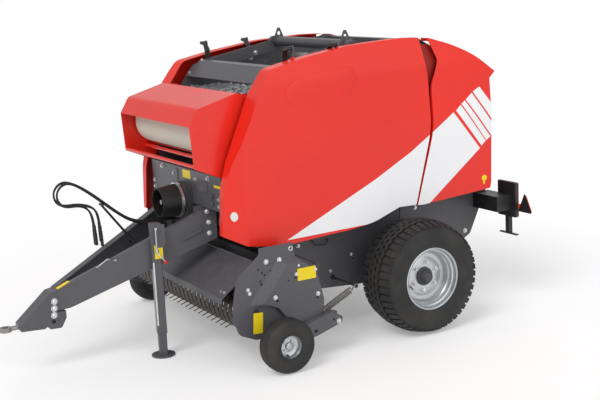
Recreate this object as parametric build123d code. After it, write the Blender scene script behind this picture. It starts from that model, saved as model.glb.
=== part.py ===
"""Towed round baler with a fixed chamber, modelled in millimetres.

X points to the machine's left, Y to its rear and Z up. The pieces are laid out from the point
on the ground under the main axle, and are moved at the end so that the middle of the machine's
length lies at Y = 0.
"""
import os
from collections import namedtuple
from math import atan2, cos, degrees, hypot, radians, sin, tan

from build123d import *

# Fits between pieces
SEAT_GAP = 0.3          # between a piece and the curved or close seat that carries it
RUNNING_FIT = 0.05      # radial, between a shaft and its bore
MOVING_GAP = 5.0        # between pieces that move past each other

# Overall reach from the axle
EYE_TIP_REACH = 2909.0  # forward, to the front of the towing ring
LAMP_REACH = 992.0      # backward, to the rear face of the lamps

# Main wheels
WheelSizes = namedtuple(
    "WheelSizes",
    "outer_radius width bead_radius bead_width flank_radius shoulder_radius shoulder_width "
    "flange_height rim_wall well_depth disc_offset disc_wall hub_radius hub_length bore_radius")
MAIN_WHEEL = WheelSizes(
    outer_radius=425.0, width=375.0, bead_radius=216.0, bead_width=330.0, flank_radius=318.0,
    shoulder_radius=404.0, shoulder_width=330.0, flange_height=16.0, rim_wall=8.0,
    well_depth=26.0, disc_offset=20.0, disc_wall=12.0, hub_radius=62.0, hub_length=150.0,
    bore_radius=25.0)
GAUGE_WHEEL = WheelSizes(
    outer_radius=192.0, width=150.0, bead_radius=78.0, bead_width=118.0, flank_radius=132.0,
    shoulder_radius=178.0, shoulder_width=120.0, flange_height=13.0, rim_wall=4.0,
    well_depth=12.0, disc_offset=6.0, disc_wall=5.0, hub_radius=27.0, hub_length=90.0,
    bore_radius=12.5)
MAIN_WHEEL_X = 962.0        # middle of the tyre
GAUGE_WHEEL_X = 1157.0
GAUGE_WHEEL_Y = -1268.0
HUB_END_PLAY = 6.0
HUB_CAP = 10.0

# Axle
AXLE_BEAM = 90.0
AXLE_BEAM_HALF = 700.0
SPINDLE_COLLAR_RADIUS = 45.0

# Chamber between the side plates
CHAMBER_HALF = 605.0        # to the inner face of a side plate
PLATE = 6.0
CHAMBER_Y = 20.0
CHAMBER_Z = 1290.0
CHAMBER_RADIUS = 575.0
ROLLER_RADIUS = 90.0
ROLLER_SHAFT_RADIUS = 30.0
ROLLER_END_GAP = 12.0
ROLLER_SLOTS = 19           # equal places round the chamber
FRONT_ROLLERS = (1, 2, 3, 4, 5, 6, 7, 9, 10, 11)    # the place left out is the crop's way in
REAR_ROLLERS = (12, 13, 14, 15, 16, 17, 18, 0)
SLOT_TURN = 62.0            # degrees from the rear up to the first place

# Tailgate pivot
PIVOT_Y = 230.0
PIVOT_Z = 2125.0
PIVOT_PIN_RADIUS = 20.0
EAR_WALL = 10.0

# Side plates, seen from the side as (y, z)
SIDE_PLATE_OUTLINE = [
    (-1350, 900), (-1350, 1420), (-1185, 1780), (-1010, 2005), (-880, 2045), (-320, 2140),
    (195, 2140), (188, 2060), (205, 1900), (180, 1400), (75, 800), (60, 335), (-309, 335),
    (-647, 360), (-900, 560), (-940, 640), (-940, 845)]
SIDE_PLATE_RADII = [10, 40, 80, 60, 60, 40, 10, 10, 60, 60, 60, 20, 60, 60, 40, 40, 10]
TAILGATE_PLATE_OUTLINE = [
    (215, 2060), (212, 1900), (187, 1400), (82, 800), (68, 527), (707, 527), (768, 560),
    (948, 925), (770, 990), (800, 1500), (800, 1760), (640, 1985), (430, 2080)]
TAILGATE_PLATE_RADII = [5, 60, 60, 60, 20, 60, 60, 10, 20, 200, 120, 200, 60]

# Side covers
COVER_INNER_X = CHAMBER_HALF + 45.0
COVER_OUTER_X = COVER_INNER_X + 190.0
COVER_WALL = 6.0
COVER_LIP = 40.0
COVER_HINGE_X = COVER_INNER_X + 40.0
COVER_HINGE_Z = 2165.0
COVER_HINGE_PIN_RADIUS = 8.0
COVER_HINGE_PLACES = (-870.0, -500.0)
COVER_HINGE_WIDTH = 40.0
FRONT_COVER_SIDE = [
    (-1480, 905), (-1456, 1235), (-1400, 1420), (-1200, 1868), (-1078, 2037), (-803, 2092),
    (-393, 2150), (40, 2169), (223, 2163), (243, 1846), (236, 1472), (82, 928), (-74, 932),
    (-303, 853), (-523, 827), (-695, 821), (-1065, 799), (-1343, 833)]
FRONT_COVER_RADII = [15, 150, 200, 150, 90, 600, 900, 600, 8, 500, 700, 8, 60, 500, 400, 600,
                     500, 60]
REAR_COVER_SIDE = [
    (300, 2158), (491, 2099), (681, 2016), (883, 1861), (826, 1813), (806, 1000), (795, 958),
    (147, 919), (96, 922), (262, 1472), (268, 1800), (352, 1990)]
REAR_COVER_RADII = [8, 900, 900, 6, 8, 150, 15, 20, 8, 600, 200, 60]
# The section across the machine, as (x, z), and the plan, as (x, y)
COVER_ACROSS = [(640, 2220), (712, 2220), (800, 1960), (840, 1560), (840, 790), (640, 790)]
COVER_ACROSS_RADII = [0, 40, 350, 900, 0, 0]
FRONT_COVER_PLAN = [
    (640, -1500), (700, -1476), (806, -1340), (840, -1150), (840, 260), (640, 260)]
FRONT_COVER_PLAN_RADII = [0, 20, 70, 300, 0, 0]
REAR_COVER_PLAN = [(640, 60), (840, 60), (840, 330), (772, 900), (640, 900)]
REAR_COVER_PLAN_RADII = [0, 0, 500, 30, 0]

# Net box
HOOD_HALF = CHAMBER_HALF + 15.0
HOOD_WALL = 4.0
HOOD_HINGE_Y = -1190.0
HOOD_HINGE_Z = 1850.0
HOOD_PIN_RADIUS = 10.0
HOOD_SIDE = [
    (-1644, 1685), (-1626, 1391), (-1395, 1291), (-1228, 1660), (-1152, 1835), (-1268, 1885),
    (-1573, 1802)]
HOOD_SIDE_RADII = [12, 12, 12, 60, 12, 12, 50]
HOOD_TUBE_RADIUS = 13.0
HOOD_TUBES = ((-1612.0, 1402.0), (-1450.0, 1415.0))
NET_ROLL_Y = -1372.0
NET_ROLL_Z = 1605.0
NET_ROLL_RADIUS = 165.0
NET_ROLL_HALF = CHAMBER_HALF - 15.0
NET_CORE_RADIUS = 38.0
TRAY_WALL = 6.0

# Gas struts of the net box
STRUT_X = HOOD_HALF + 14.0
STRUT_RADIUS = 7.0
STRUT_ROD_RADIUS = 4.0
STRUT_FOOT = (-1335.0, 1380.0)
STRUT_HEAD = (-1252.0, 1650.0)
STRUT_PIN_RADIUS = 4.0
STRUT_EYE_RADIUS = 8.0

# Tailgate cylinders
CYLINDER_X = COVER_INNER_X + 40.0
CYLINDER_FOOT = (60.0, 1200.0)
CYLINDER_HEAD = (380.0, 1950.0)
CYLINDER_RADIUS = 32.0
CYLINDER_ROD_RADIUS = 18.0
CYLINDER_PIN_RADIUS = 15.0
CYLINDER_EYE_RADIUS = 28.0
CYLINDER_EYE_WIDTH = 40.0
CYLINDER_BARREL = 560.0

# Front frame, gearbox and power shaft
FRAME_Y = (-1420.0, -1330.0)
FRAME_Z = (1050.0, 1300.0)
GEARBOX_Z = 1070.0
GEARBOX_HALF = 120.0
GEARBOX_FRONT_Y = -1500.0
CONE_FRONT_Y = -1652.0
CONE_FRONT_RADIUS = 104.0
CONE_REAR_RADIUS = 126.0
CONE_WALL = 4.0
SHAFT_RADIUS = 17.5
SHAFT_COLLAR_RADIUS = 21.0
SHAFT_COLLAR_Y = -1536.0
SHAFT_TIP_Y = -1628.0

# Lifting bar and the rails that end at it
LIFT_Y = -274.0
LIFT_Z = 2140.0
LIFT_RADIUS = 40.0
LUG_HOLE_Z = 2205.0
LUG_HOLE_RADIUS = 17.0
RAIL_TOP_Z = LIFT_Z + LIFT_RADIUS + 5.0

# Throat between the pick-up and the chamber
THROAT_WALL = 6.0

# Drawbar arms, laid out along a line that turns inward towards the towing eye
ARM_REAR = (333.0, -1425.0)
ARM_FRONT = (60.0, -2498.0)
ARM_WIDTH = 58.0
ARM_WALL = 8.0
ARM_LENGTH = hypot(ARM_REAR[0] - ARM_FRONT[0], ARM_REAR[1] - ARM_FRONT[1])
ARM_TURN = degrees(atan2(ARM_REAR[0] - ARM_FRONT[0], ARM_REAR[1] - ARM_FRONT[1]))
ARM_SIDE = [(-ARM_LENGTH - 30, 560), (-45, 1026), (75, 1050), (75, 816), (52, 812),
            (-1012, 432), (-ARM_LENGTH - 30, 416)]
ARM_SIDE_RADII = [10, 60, 10, 10, 30, 60, 10]

# Towing hitch
HITCH_HALF = 62.0
HITCH_SIDE = [
    (-2440, 575), (-2544, 560), (-2775, 362), (-2775, 318), (-2600, 306), (-2580, 330),
    (-2568, 296), (-2480, 292), (-2440, 360)]
HITCH_SIDE_RADII = [8, 30, 12, 8, 12, 14, 16, 20, 10]
EYE_Z = 340.0
EYE_RADIUS = 42.0
EYE_HOLE_RADIUS = 21.0
EYE_HEIGHT = 30.0
EYE_SHANK_RADIUS = 17.0

# Parking jack
JACK_ALONG = -388.0         # along the left arm from its rear bolts
JACK_SIZE = 70.0
JACK_TUBE_WALL = 5.0
JACK_TUBE_Z = (171.0, 985.0)
JACK_LEG_TOP = 610.0
JACK_FOOT_RADIUS = 86.0
JACK_FOOT_WALL = 10.0
CRANK_RADIUS = 6.0
CRANK_REACH = 22.0          # from the jack's face to the middle of its crank
KNOB_RADIUS = 13.0

# Pick-up
PICKUP_HALF = 955.0         # to the inner face of a side shield
SHIELD_WALL = 6.0
PICKUP_PIVOT_Y = -885.0
PICKUP_PIVOT_Z = 640.0
PICKUP_TUBE_RADIUS = 25.0
REEL_Y = -1390.0
REEL_Z = 405.0
REEL_SHAFT_RADIUS = 24.0
PICKUP_BACK_Y = (-1150.0, -1142.0)
TINE_TIP_RADIUS = 210.0
TINE_BAR_RADIUS = 100.0
TINE_RADIUS = 3.5
TINE_BARS = 4
TINE_PITCH = 72.0
TINES_PER_BAR = 24
BAND_RADIUS = 155.0
BAND_WALL = 4.0
BAND_WIDTH = 56.0
SHIELD_SIDE = [
    (-1522, 669), (-1555, 528), (-1572, 390), (-1527, 262), (-1400, 205), (-1120, 205),
    (-992, 262), (-856, 313), (-850, 420), (-904, 659), (-1062, 751), (-1075, 848),
    (-1341, 848), (-1344, 799)]
SHIELD_SIDE_RADII = [80, 100, 60, 60, 60, 60, 60, 40, 60, 60, 20, 10, 10, 40]

# Wind guard over the pick-up
GUARD_HALF = 905.0
GUARD_WALL = 5.0
GUARD_REAR_Y = -1325.0
GUARD_REAR_Z = 730.0
GUARD_BAR_RADIUS = 8.0
GUARD_FRONT_Y = -1618.0
GUARD_FRONT_Z = 530.0
GUARD_LIP = 40.0

# Lamps
LAMP_X = (745.0, 945.0)
LAMP_DEPTH = 37.0
LAMP_Y = (LAMP_REACH - LAMP_DEPTH, LAMP_REACH)
LAMP_Z = (715.0, 985.0)
LAMP_HANGER_Z = 575.0
TRIANGLE = [(948, 762), (1103, 762), (1025, 911)]

# Hoses: each leaves the frame, lies on the holder, loops forward and hangs with its plug
HOSE_RADIUS = 7.0
HOSE_FILLET = 0.45          # share of the shorter run that a bend uses
HOSE_ROUTE = [
    (-1428, 905), (-1540, 905), (-1680, 899), (-1810, 932), (-1920, 1010), (-2040, 1118),
    (-2166, 1224), (-2275, 1286), (-2340, 1272), (-2379, 1218), (-2372, 1152), (-2322, 1109),
    (-2200, 1110), (-2125, 1068), (-2100, 985), (-2097, 908)]
HOSE_LOOP = range(7, 12)    # the corners that the loop's own length moves
HOSE_TAIL = range(13, 16)   # the corners that the hanging end's place moves
Hose = namedtuple("Hose", "x rise loop tail drop")
HOSES = (
    Hose(x=-181.0, rise=0.0, loop=0.0, tail=0.0, drop=0.0),
    Hose(x=-160.0, rise=9.0, loop=-6.0, tail=36.0, drop=14.0),
    Hose(x=-139.0, rise=-4.0, loop=9.0, tail=-6.0, drop=10.0),
    Hose(x=-118.0, rise=6.0, loop=4.0, tail=30.0, drop=-8.0))
PLUG_RADIUS = 12.5
PLUG_LENGTH = 120.0
BULKHEAD_Z = (855.0, 945.0)
HOLDER_X = -142.0
HOLDER_RADIUS = 9.0
HOLDER_FOOT = (-1800.0, 765.0)
HOLDER_TOP = (-2040.0, 1091.0)

CENTRE_Y = (EYE_TIP_REACH - LAMP_REACH) / 2
PARTS = "parts"


def save(name, shape):
    """Write one piece, moved so that the machine's middle is at Y = 0."""
    os.makedirs(PARTS, exist_ok=True)
    export_step(Pos(0, CENTRE_Y, 0) * shape, f"{PARTS}/{name}.step")


def block(x, y, z):
    """A box from a (low, high) pair for each axis."""
    middle = [(low + high) / 2 for low, high in (x, y, z)]
    size = [high - low for low, high in (x, y, z)]
    return Pos(*middle) * Box(*size)


def bar(radius, start, end):
    """A round bar between two points."""
    run = Vector(*end) - Vector(*start)
    return extrude(Plane(origin=start, z_dir=run) * Circle(radius), amount=run.length)


def bar_x(radius, x, y, z):
    """A round bar across the machine, from a (low, high) pair."""
    return bar(radius, (x[0], y, z), (x[1], y, z))


def side_shape(corners, radii, x):
    """A shape seen from the side, with rounded (y, z) corners, between two x."""
    plane = Plane(origin=(x[0], 0, 0), x_dir=(0, 1, 0), z_dir=(1, 0, 0))
    outline = FilletPolyline(*corners, radius=radii, close=True)
    return extrude(plane * make_face(outline), amount=x[1] - x[0])


def across_shape(corners, radii, y):
    """A shape seen along the machine, with rounded (x, z) corners, between two y."""
    plane = Plane(origin=(0, y[1], 0), x_dir=(1, 0, 0), z_dir=(0, -1, 0))
    outline = FilletPolyline(*corners, radius=radii, close=True)
    return extrude(plane * make_face(outline), amount=y[1] - y[0])


def plan_shape(corners, radii, z):
    """A shape seen from above, with rounded (x, y) corners, between two z."""
    outline = FilletPolyline(*corners, radius=radii, close=True)
    return extrude(Pos(0, 0, z[0]) * make_face(outline), amount=z[1] - z[0])


def turned(corners, radii=0):
    """A shape turned about X, from (x, radius) corners."""
    outline = FilletPolyline(*corners, radius=radii, close=True)
    return revolve(make_face(outline), axis=Axis.X)


def mirrored(shape):
    """The same piece on the machine's right side."""
    return mirror(shape, about=Plane.YZ)


def tyre(w):
    """A tyre about X: bead, bulged flanks and a crowned tread."""
    bead = w.bead_width / 2
    shoulder = w.shoulder_width / 2
    flank = w.width / 2
    heel = w.bead_radius + w.flange_height + SEAT_GAP
    edges = [
        Line((-bead, w.bead_radius), (bead, w.bead_radius)),
        Line((bead, w.bead_radius), (bead, heel)),
        ThreePointArc((bead, heel), (flank, w.flank_radius), (shoulder, w.shoulder_radius)),
        ThreePointArc((shoulder, w.shoulder_radius), (0, w.outer_radius),
                      (-shoulder, w.shoulder_radius)),
        ThreePointArc((-shoulder, w.shoulder_radius), (-flank, w.flank_radius), (-bead, heel)),
        Line((-bead, heel), (-bead, w.bead_radius))]
    return revolve(Face(Wire(edges)), axis=Axis.X)


def rim(w):
    """A rim about X with its disc and hub, the open side of the bore towards -X."""
    seat = w.bead_radius - SEAT_GAP
    lip = w.bead_width / 2 + SEAT_GAP
    well = seat - w.well_depth
    wall = w.rim_wall
    ledge = 0.72 * lip
    slope = 0.50 * lip
    barrel = turned([
        (-lip - wall, seat + w.flange_height), (-lip, seat + w.flange_height), (-lip, seat),
        (-ledge, seat), (-slope, well), (slope, well), (ledge, seat), (lip, seat),
        (lip, seat + w.flange_height), (lip + wall, seat + w.flange_height),
        (lip + wall, seat - wall), (ledge, seat - wall), (slope, well - wall),
        (-slope, well - wall), (-ledge, seat - wall), (-lip - wall, seat - wall)])
    disc_x = w.disc_offset
    disc = turned([
        (disc_x - w.disc_wall, 0), (disc_x, 0), (disc_x, well - wall / 2),
        (disc_x - w.disc_wall, well - wall / 2)])
    hub_inner = disc_x - w.hub_length * 0.62
    hub_outer = disc_x + w.hub_length * 0.38
    hub = turned([
        (hub_inner, 0), (hub_outer, 0), (hub_outer, w.hub_radius * 0.72),
        (disc_x + w.disc_wall, w.hub_radius), (hub_inner, w.hub_radius)], [0, 0, 6, 6, 4])
    bore = bar_x(w.bore_radius + RUNNING_FIT, (hub_inner - 1, hub_outer - HUB_CAP), 0, 0)
    return barrel + disc + hub - bore


def spindle_end(w):
    """How far a spindle reaches past the middle of its wheel."""
    return w.disc_offset + w.hub_length * 0.38 - HUB_CAP - HUB_END_PLAY


def hub_start(w):
    """Where the inner end of a hub lies, past the middle of its wheel."""
    return w.disc_offset - w.hub_length * 0.62


def wheels():
    """Tyres and rims of the main wheels and of the pick-up's gauge wheels."""
    table = (
        ("", MAIN_WHEEL, MAIN_WHEEL_X, 0.0),
        ("gauge_", GAUGE_WHEEL, GAUGE_WHEEL_X, GAUGE_WHEEL_Y))
    for prefix, sizes, x, y in table:
        place = Pos(x, y, sizes.outer_radius)
        for piece, shape in (("tyre", tyre(sizes)), ("rim", rim(sizes))):
            left = place * shape
            save(f"{prefix}{piece}_left", left)
            save(f"{prefix}{piece}_right", mirrored(left))


def axle():
    """The axle beam with a spindle for each main wheel."""
    w = MAIN_WHEEL
    height = w.outer_radius
    half = AXLE_BEAM / 2
    beam = block((-AXLE_BEAM_HALF, AXLE_BEAM_HALF), (-half, half), (height - half, height + half))
    beam = fillet(beam.edges().filter_by(Axis.X), 8)
    spindle = bar_x(w.bore_radius, (AXLE_BEAM_HALF - 1, MAIN_WHEEL_X + spindle_end(w)), 0, height)
    collar = bar_x(SPINDLE_COLLAR_RADIUS,
                   (AXLE_BEAM_HALF - 1, MAIN_WHEEL_X + hub_start(w) - MOVING_GAP), 0, height)
    left = spindle + collar
    save("axle", beam + left + mirrored(left))


def side_plates():
    """The chassis plates at each side of the chamber, with the tailgate's pivot pins."""
    inner = CHAMBER_HALF
    outer = inner + PLATE
    half = AXLE_BEAM / 2
    plate = side_shape(SIDE_PLATE_OUTLINE, SIDE_PLATE_RADII, (inner, outer))
    plate += side_shape(
        [(PIVOT_Y - 120, PIVOT_Z - 45), (PIVOT_Y + 10, PIVOT_Z - 30), (PIVOT_Y + 30, PIVOT_Z),
         (PIVOT_Y + 10, PIVOT_Z + 30), (PIVOT_Y - 120, PIVOT_Z + 15)],
        [0, 25, 25, 25, 0], (inner, outer))
    height = MAIN_WHEEL.outer_radius
    plate -= block((inner - 1, outer + 1), (-half, half), (height - half, height + half))
    plate -= bar_x(PICKUP_TUBE_RADIUS + RUNNING_FIT, (inner - 1, outer + 1), PICKUP_PIVOT_Y,
                   PICKUP_PIVOT_Z)
    pin = bar_x(PIVOT_PIN_RADIUS, (outer - 1, outer + MOVING_GAP + EAR_WALL + MOVING_GAP),
                PIVOT_Y, PIVOT_Z)
    foot = bar_x(CYLINDER_PIN_RADIUS, (outer - 1, CYLINDER_X + CYLINDER_EYE_WIDTH / 2 + 8),
                 *CYLINDER_FOOT)
    boss = bar_x(CYLINDER_EYE_RADIUS,
                 (outer - 1, CYLINDER_X - CYLINDER_EYE_WIDTH / 2 - 2), *CYLINDER_FOOT)
    left = plate + pin + foot + boss
    save("side_plates", Compound([left, mirrored(left)]))
    stud = bar_x(STRUT_PIN_RADIUS, (outer, STRUT_X + STRUT_RADIUS), *STRUT_FOOT)
    save("strut_studs", Compound([stud, mirrored(stud)]))


def roller(slot):
    """One chamber roller with its shaft ends, seated between the side plates."""
    angle = radians(SLOT_TURN + slot * 360 / ROLLER_SLOTS)
    reach = CHAMBER_RADIUS + ROLLER_RADIUS
    y = CHAMBER_Y + reach * cos(angle)
    z = CHAMBER_Z + reach * sin(angle)
    drum = CHAMBER_HALF - ROLLER_END_GAP
    ends = CHAMBER_HALF - SEAT_GAP
    return (bar_x(ROLLER_RADIUS, (-drum, drum), y, z)
            + bar_x(ROLLER_SHAFT_RADIUS, (-ends, ends), y, z))


def rollers():
    """The chamber's rollers: those of the chassis and those of the tailgate."""
    save("front_rollers", Compound([roller(slot) for slot in FRONT_ROLLERS]))
    save("rear_rollers", Compound([roller(slot) for slot in REAR_ROLLERS]))


def front_frame():
    """The hollow cross member ahead of the chamber, with the posts that carry the drawbar."""
    inner = CHAMBER_HALF
    beam = block((-inner, inner), FRAME_Y, FRAME_Z)
    beam -= block((-inner - 1, inner + 1), (FRAME_Y[0] + 8, FRAME_Y[1] - 8),
                  (FRAME_Z[0] + 8, FRAME_Z[1] - 8))
    post = block((-ARM_WIDTH - 60, -ARM_WIDTH), (-70, 85), (815, FRAME_Z[0]))
    tenon = block((-ARM_WIDTH, -ARM_WALL), (-60, 65), (845, 1000))
    left = arm_place() * (post + tenon)
    lower = block((-inner, inner), (-1335, -1275), (905, 965))
    post_x = ARM_REAR[0] - ARM_WIDTH - 40
    bulkhead = block((-post_x, post_x), (HOSE_ROUTE[0][0], HOSE_ROUTE[0][0] + 8), BULKHEAD_Z)
    save("front_frame", beam + left + mirrored(left) + lower + bulkhead)


def throat():
    """The sloped plate over the throat and the feed floor under it, between the side plates."""
    inner = CHAMBER_HALF
    wall = THROAT_WALL
    roof = side_shape([(-1275, 925), (-960, 862), (-780, 862), (-780, 862 + wall),
                       (-960, 862 + wall), (-1275, 925 + wall)], 0, (-inner, inner))
    save("throat_roof", roof)
    floor = side_shape([(-895, 572), (-647, 372), (-312, 347), (-312, 347 + wall),
                        (-645, 372 + wall), (-892, 572 + wall)], 0, (-inner, inner))
    save("feed_floor", floor)


def gearbox():
    """The input gearbox, a cast block with a round nose for the power shaft."""
    half = GEARBOX_HALF
    body = block((-half, half), (GEARBOX_FRONT_Y + 20, FRAME_Y[0]),
                 (GEARBOX_Z - half, GEARBOX_Z + half))
    body = fillet(body.edges().filter_by(Axis.Y), 30)
    nose = bar(62, (0, GEARBOX_FRONT_Y + 21, GEARBOX_Z), (0, GEARBOX_FRONT_Y - 30, GEARBOX_Z))
    bore = bar(SHAFT_COLLAR_RADIUS + RUNNING_FIT, (0, GEARBOX_FRONT_Y - 31, GEARBOX_Z),
               (0, FRAME_Y[0] - 15, GEARBOX_Z))
    save("gearbox", body + nose - bore)
    shaft = bar(SHAFT_RADIUS, (0, SHAFT_TIP_Y, GEARBOX_Z), (0, SHAFT_COLLAR_Y + 1, GEARBOX_Z))
    shaft += bar(SHAFT_COLLAR_RADIUS, (0, SHAFT_COLLAR_Y, GEARBOX_Z),
                 (0, FRAME_Y[0] - 20, GEARBOX_Z))
    save("power_shaft", shaft)


def power_cone():
    """The open cone that guards the power shaft."""
    rear = GEARBOX_FRONT_Y + 20
    outline = [(CONE_FRONT_Y, CONE_FRONT_RADIUS), (rear - 12, CONE_REAR_RADIUS),
               (rear, CONE_REAR_RADIUS), (rear, CONE_REAR_RADIUS - CONE_WALL - 20),
               (rear - 6, CONE_REAR_RADIUS - CONE_WALL - 20),
               (rear - 6, CONE_REAR_RADIUS - CONE_WALL),
               (CONE_FRONT_Y, CONE_FRONT_RADIUS - CONE_WALL)]
    cone = Rot(0, 0, 90) * turned(outline)
    save("power_cone", Pos(0, 0, GEARBOX_Z) * cone)


def arm_place():
    """The place of a drawbar arm: its outer face and rear bolts lie on local X = 0, Y = 0."""
    return Pos(ARM_REAR[0], ARM_REAR[1], 0) * Rot(0, 0, -ARM_TURN)


def drawbar():
    """Two pressed channels that run together towards the hitch."""
    channel = side_shape(ARM_SIDE, ARM_SIDE_RADII, (-ARM_WIDTH, 0))
    hollow = offset_outline(ARM_SIDE, ARM_SIDE_RADII, ARM_WALL, (-ARM_WIDTH - 1, -ARM_WALL))
    arm = arm_place() * (channel - hollow)
    left = arm & block((0, 600), (ARM_FRONT[1], 0), (0, 2000))
    save("drawbar_arms", Compound([left, mirrored(left)]))


def offset_outline(corners, radii, wall, x):
    """The same side shape drawn in by a wall, between two x."""
    plane = Plane(origin=(x[0], 0, 0), x_dir=(0, 1, 0), z_dir=(1, 0, 0))
    outline = FilletPolyline(*corners, radius=radii, close=True)
    face = offset(make_face(outline), amount=-wall)
    return extrude(plane * face, amount=x[1] - x[0])


def hitch():
    """The closed wedge ahead of the arms, and the towing ring that it holds."""
    half = HITCH_HALF
    wedge = side_shape(HITCH_SIDE, HITCH_SIDE_RADII, (-half, half))
    wedge -= block((-half - 1, half + 1), (ARM_FRONT[1], 0), (ARM_SIDE[-1][1] - 4, 1000))
    save("hitch", wedge)
    ring = Pos(0, -EYE_TIP_REACH + EYE_RADIUS, EYE_Z) * (
        Cylinder(EYE_RADIUS, EYE_HEIGHT) - Cylinder(EYE_HOLE_RADIUS, EYE_HEIGHT + 2))
    shank = bar(EYE_SHANK_RADIUS, (0, -EYE_TIP_REACH + EYE_RADIUS + EYE_HOLE_RADIUS + 9, EYE_Z),
                (0, -2775, EYE_Z))
    save("towing_eye", ring + shank)


def jack_block(half, z):
    """A square post about the jack's middle, with rounded corners."""
    post = Pos(JACK_SIZE / 2, JACK_ALONG, 0) * block((-half, half), (-half, half), z)
    return fillet(post.edges().filter_by(Axis.Z), 6)


def jack():
    """The parking jack: a square tube on the left arm, the leg that slides in it, its crank."""
    low, high = JACK_TUBE_Z
    half = JACK_SIZE / 2
    tube = jack_block(half, (low, high))
    tube -= jack_block(half - JACK_TUBE_WALL, (low - 20, high - 12))
    face = side_shape([(JACK_ALONG - 42, high + 6), (JACK_ALONG - 42, high - 60),
                       (JACK_ALONG - 18, high - 100), (JACK_ALONG + 18, high - 100),
                       (JACK_ALONG + 42, high - 60), (JACK_ALONG + 42, high + 6)],
                      [4, 30, 16, 16, 30, 4], (JACK_SIZE, JACK_SIZE + 6))
    save("jack_tube", arm_place() * (tube + face))
    foot = Pos(half, JACK_ALONG, JACK_FOOT_WALL / 2) * Cylinder(JACK_FOOT_RADIUS, JACK_FOOT_WALL)
    leg = jack_block(half - JACK_TUBE_WALL - SEAT_GAP, (JACK_FOOT_WALL - 1, JACK_LEG_TOP))
    save("jack_leg", arm_place() * (foot + leg))
    crank_x = JACK_SIZE + 6 + CRANK_REACH
    stub = bar_x(CRANK_RADIUS + 3, (JACK_SIZE + 6, crank_x + CRANK_RADIUS + 4), JACK_ALONG,
                 high - 30)
    rod = bar(CRANK_RADIUS, (crank_x, JACK_ALONG, high - 30), (crank_x, JACK_ALONG, high - 185))
    knob = bar(KNOB_RADIUS, (crank_x, JACK_ALONG, high - 182),
               (crank_x, JACK_ALONG, high - 182 - 2 * KNOB_RADIUS))
    knob = fillet(knob.edges().filter_by(GeomType.CIRCLE), KNOB_RADIUS * 0.7)
    save("jack_crank", arm_place() * (stub + rod + knob))


def cover(side, side_radii, plan, plan_radii, open_y):
    """A moulded cover: side, cross and plan outlines meet, and its inside is drawn in.

    Its lower edge and the edge at the split, towards open_y, keep only a lip.
    """
    y = (min(p[0] for p in side) - 10, max(p[0] for p in side) + 10)
    solid = side_shape(side, side_radii, (COVER_INNER_X, COVER_OUTER_X + 10))
    solid &= across_shape(COVER_ACROSS, COVER_ACROSS_RADII, y)
    solid &= plan_shape(plan, plan_radii, (700, 2300))
    inside = offset_outline(side, side_radii, COVER_WALL,
                            (COVER_INNER_X - 1, COVER_OUTER_X - COVER_WALL))
    inner_across = [(x - COVER_WALL if x > COVER_INNER_X else x - 10, z) for x, z in COVER_ACROSS]
    inside &= across_shape(inner_across, COVER_ACROSS_RADII, y)
    inner_plan = [(x - COVER_WALL if x > COVER_INNER_X else x - 10, py) for x, py in plan]
    inside &= plan_shape(inner_plan, plan_radii, (700, 2300))
    behind_lip = block((COVER_INNER_X - 1, COVER_OUTER_X - COVER_LIP), y, (700, 2300))
    mouth = inside & behind_lip
    return solid - inside - Pos(0, open_y, 0) * mouth - Pos(0, 0, -60) * mouth


def side_covers():
    """The covers over the chassis, which swing up, and those of the tailgate."""
    front = cover(FRONT_COVER_SIDE, FRONT_COVER_RADII, FRONT_COVER_PLAN, FRONT_COVER_PLAN_RADII,
                  60)
    for y in COVER_HINGE_PLACES:
        ear = across_shape(
            [(COVER_INNER_X + 6, 2060), (COVER_HINGE_X + 16, 2060),
             (COVER_HINGE_X + 16, COVER_HINGE_Z + 16), (COVER_HINGE_X - 16, COVER_HINGE_Z + 16)],
            [0, 0, 14, 14], (y + COVER_HINGE_WIDTH / 2 + 5, y + COVER_HINGE_WIDTH / 2 + 15))
        hole = bar(COVER_HINGE_PIN_RADIUS + RUNNING_FIT,
                   (COVER_HINGE_X, y - 50, COVER_HINGE_Z), (COVER_HINGE_X, y + 50, COVER_HINGE_Z))
        front += ear
        front -= hole
    save("front_cover_left", front)
    save("front_cover_right", mirrored(front))
    rear = cover(REAR_COVER_SIDE, REAR_COVER_RADII, REAR_COVER_PLAN, REAR_COVER_PLAN_RADII, -60)
    save("rear_covers", Compound([rear, mirrored(rear)]))


def cover_hinges():
    """The black brackets on the side plates that carry the front covers."""
    pieces = []
    outer = CHAMBER_HALF + PLATE
    for y in COVER_HINGE_PLACES:
        half = COVER_HINGE_WIDTH / 2
        arm = across_shape(
            [(outer, 1985), (outer + 14, 1985), (outer + 14, 2100),
             (COVER_INNER_X - 8, COVER_HINGE_Z - 18), (COVER_HINGE_X + 14, COVER_HINGE_Z - 10),
             (COVER_HINGE_X + 8, COVER_HINGE_Z + 12), (COVER_HINGE_X - 14, COVER_HINGE_Z + 12),
             (outer, 2120)],
            [0, 0, 20, 10, 8, 8, 8, 20], (y - half, y + half))
        pin = bar(COVER_HINGE_PIN_RADIUS, (COVER_HINGE_X, y + half - 1, COVER_HINGE_Z),
                  (COVER_HINGE_X, y + half + 18, COVER_HINGE_Z))
        pieces += [arm + pin, mirrored(arm + pin)]
    save("cover_hinges", Compound(pieces))


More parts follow.
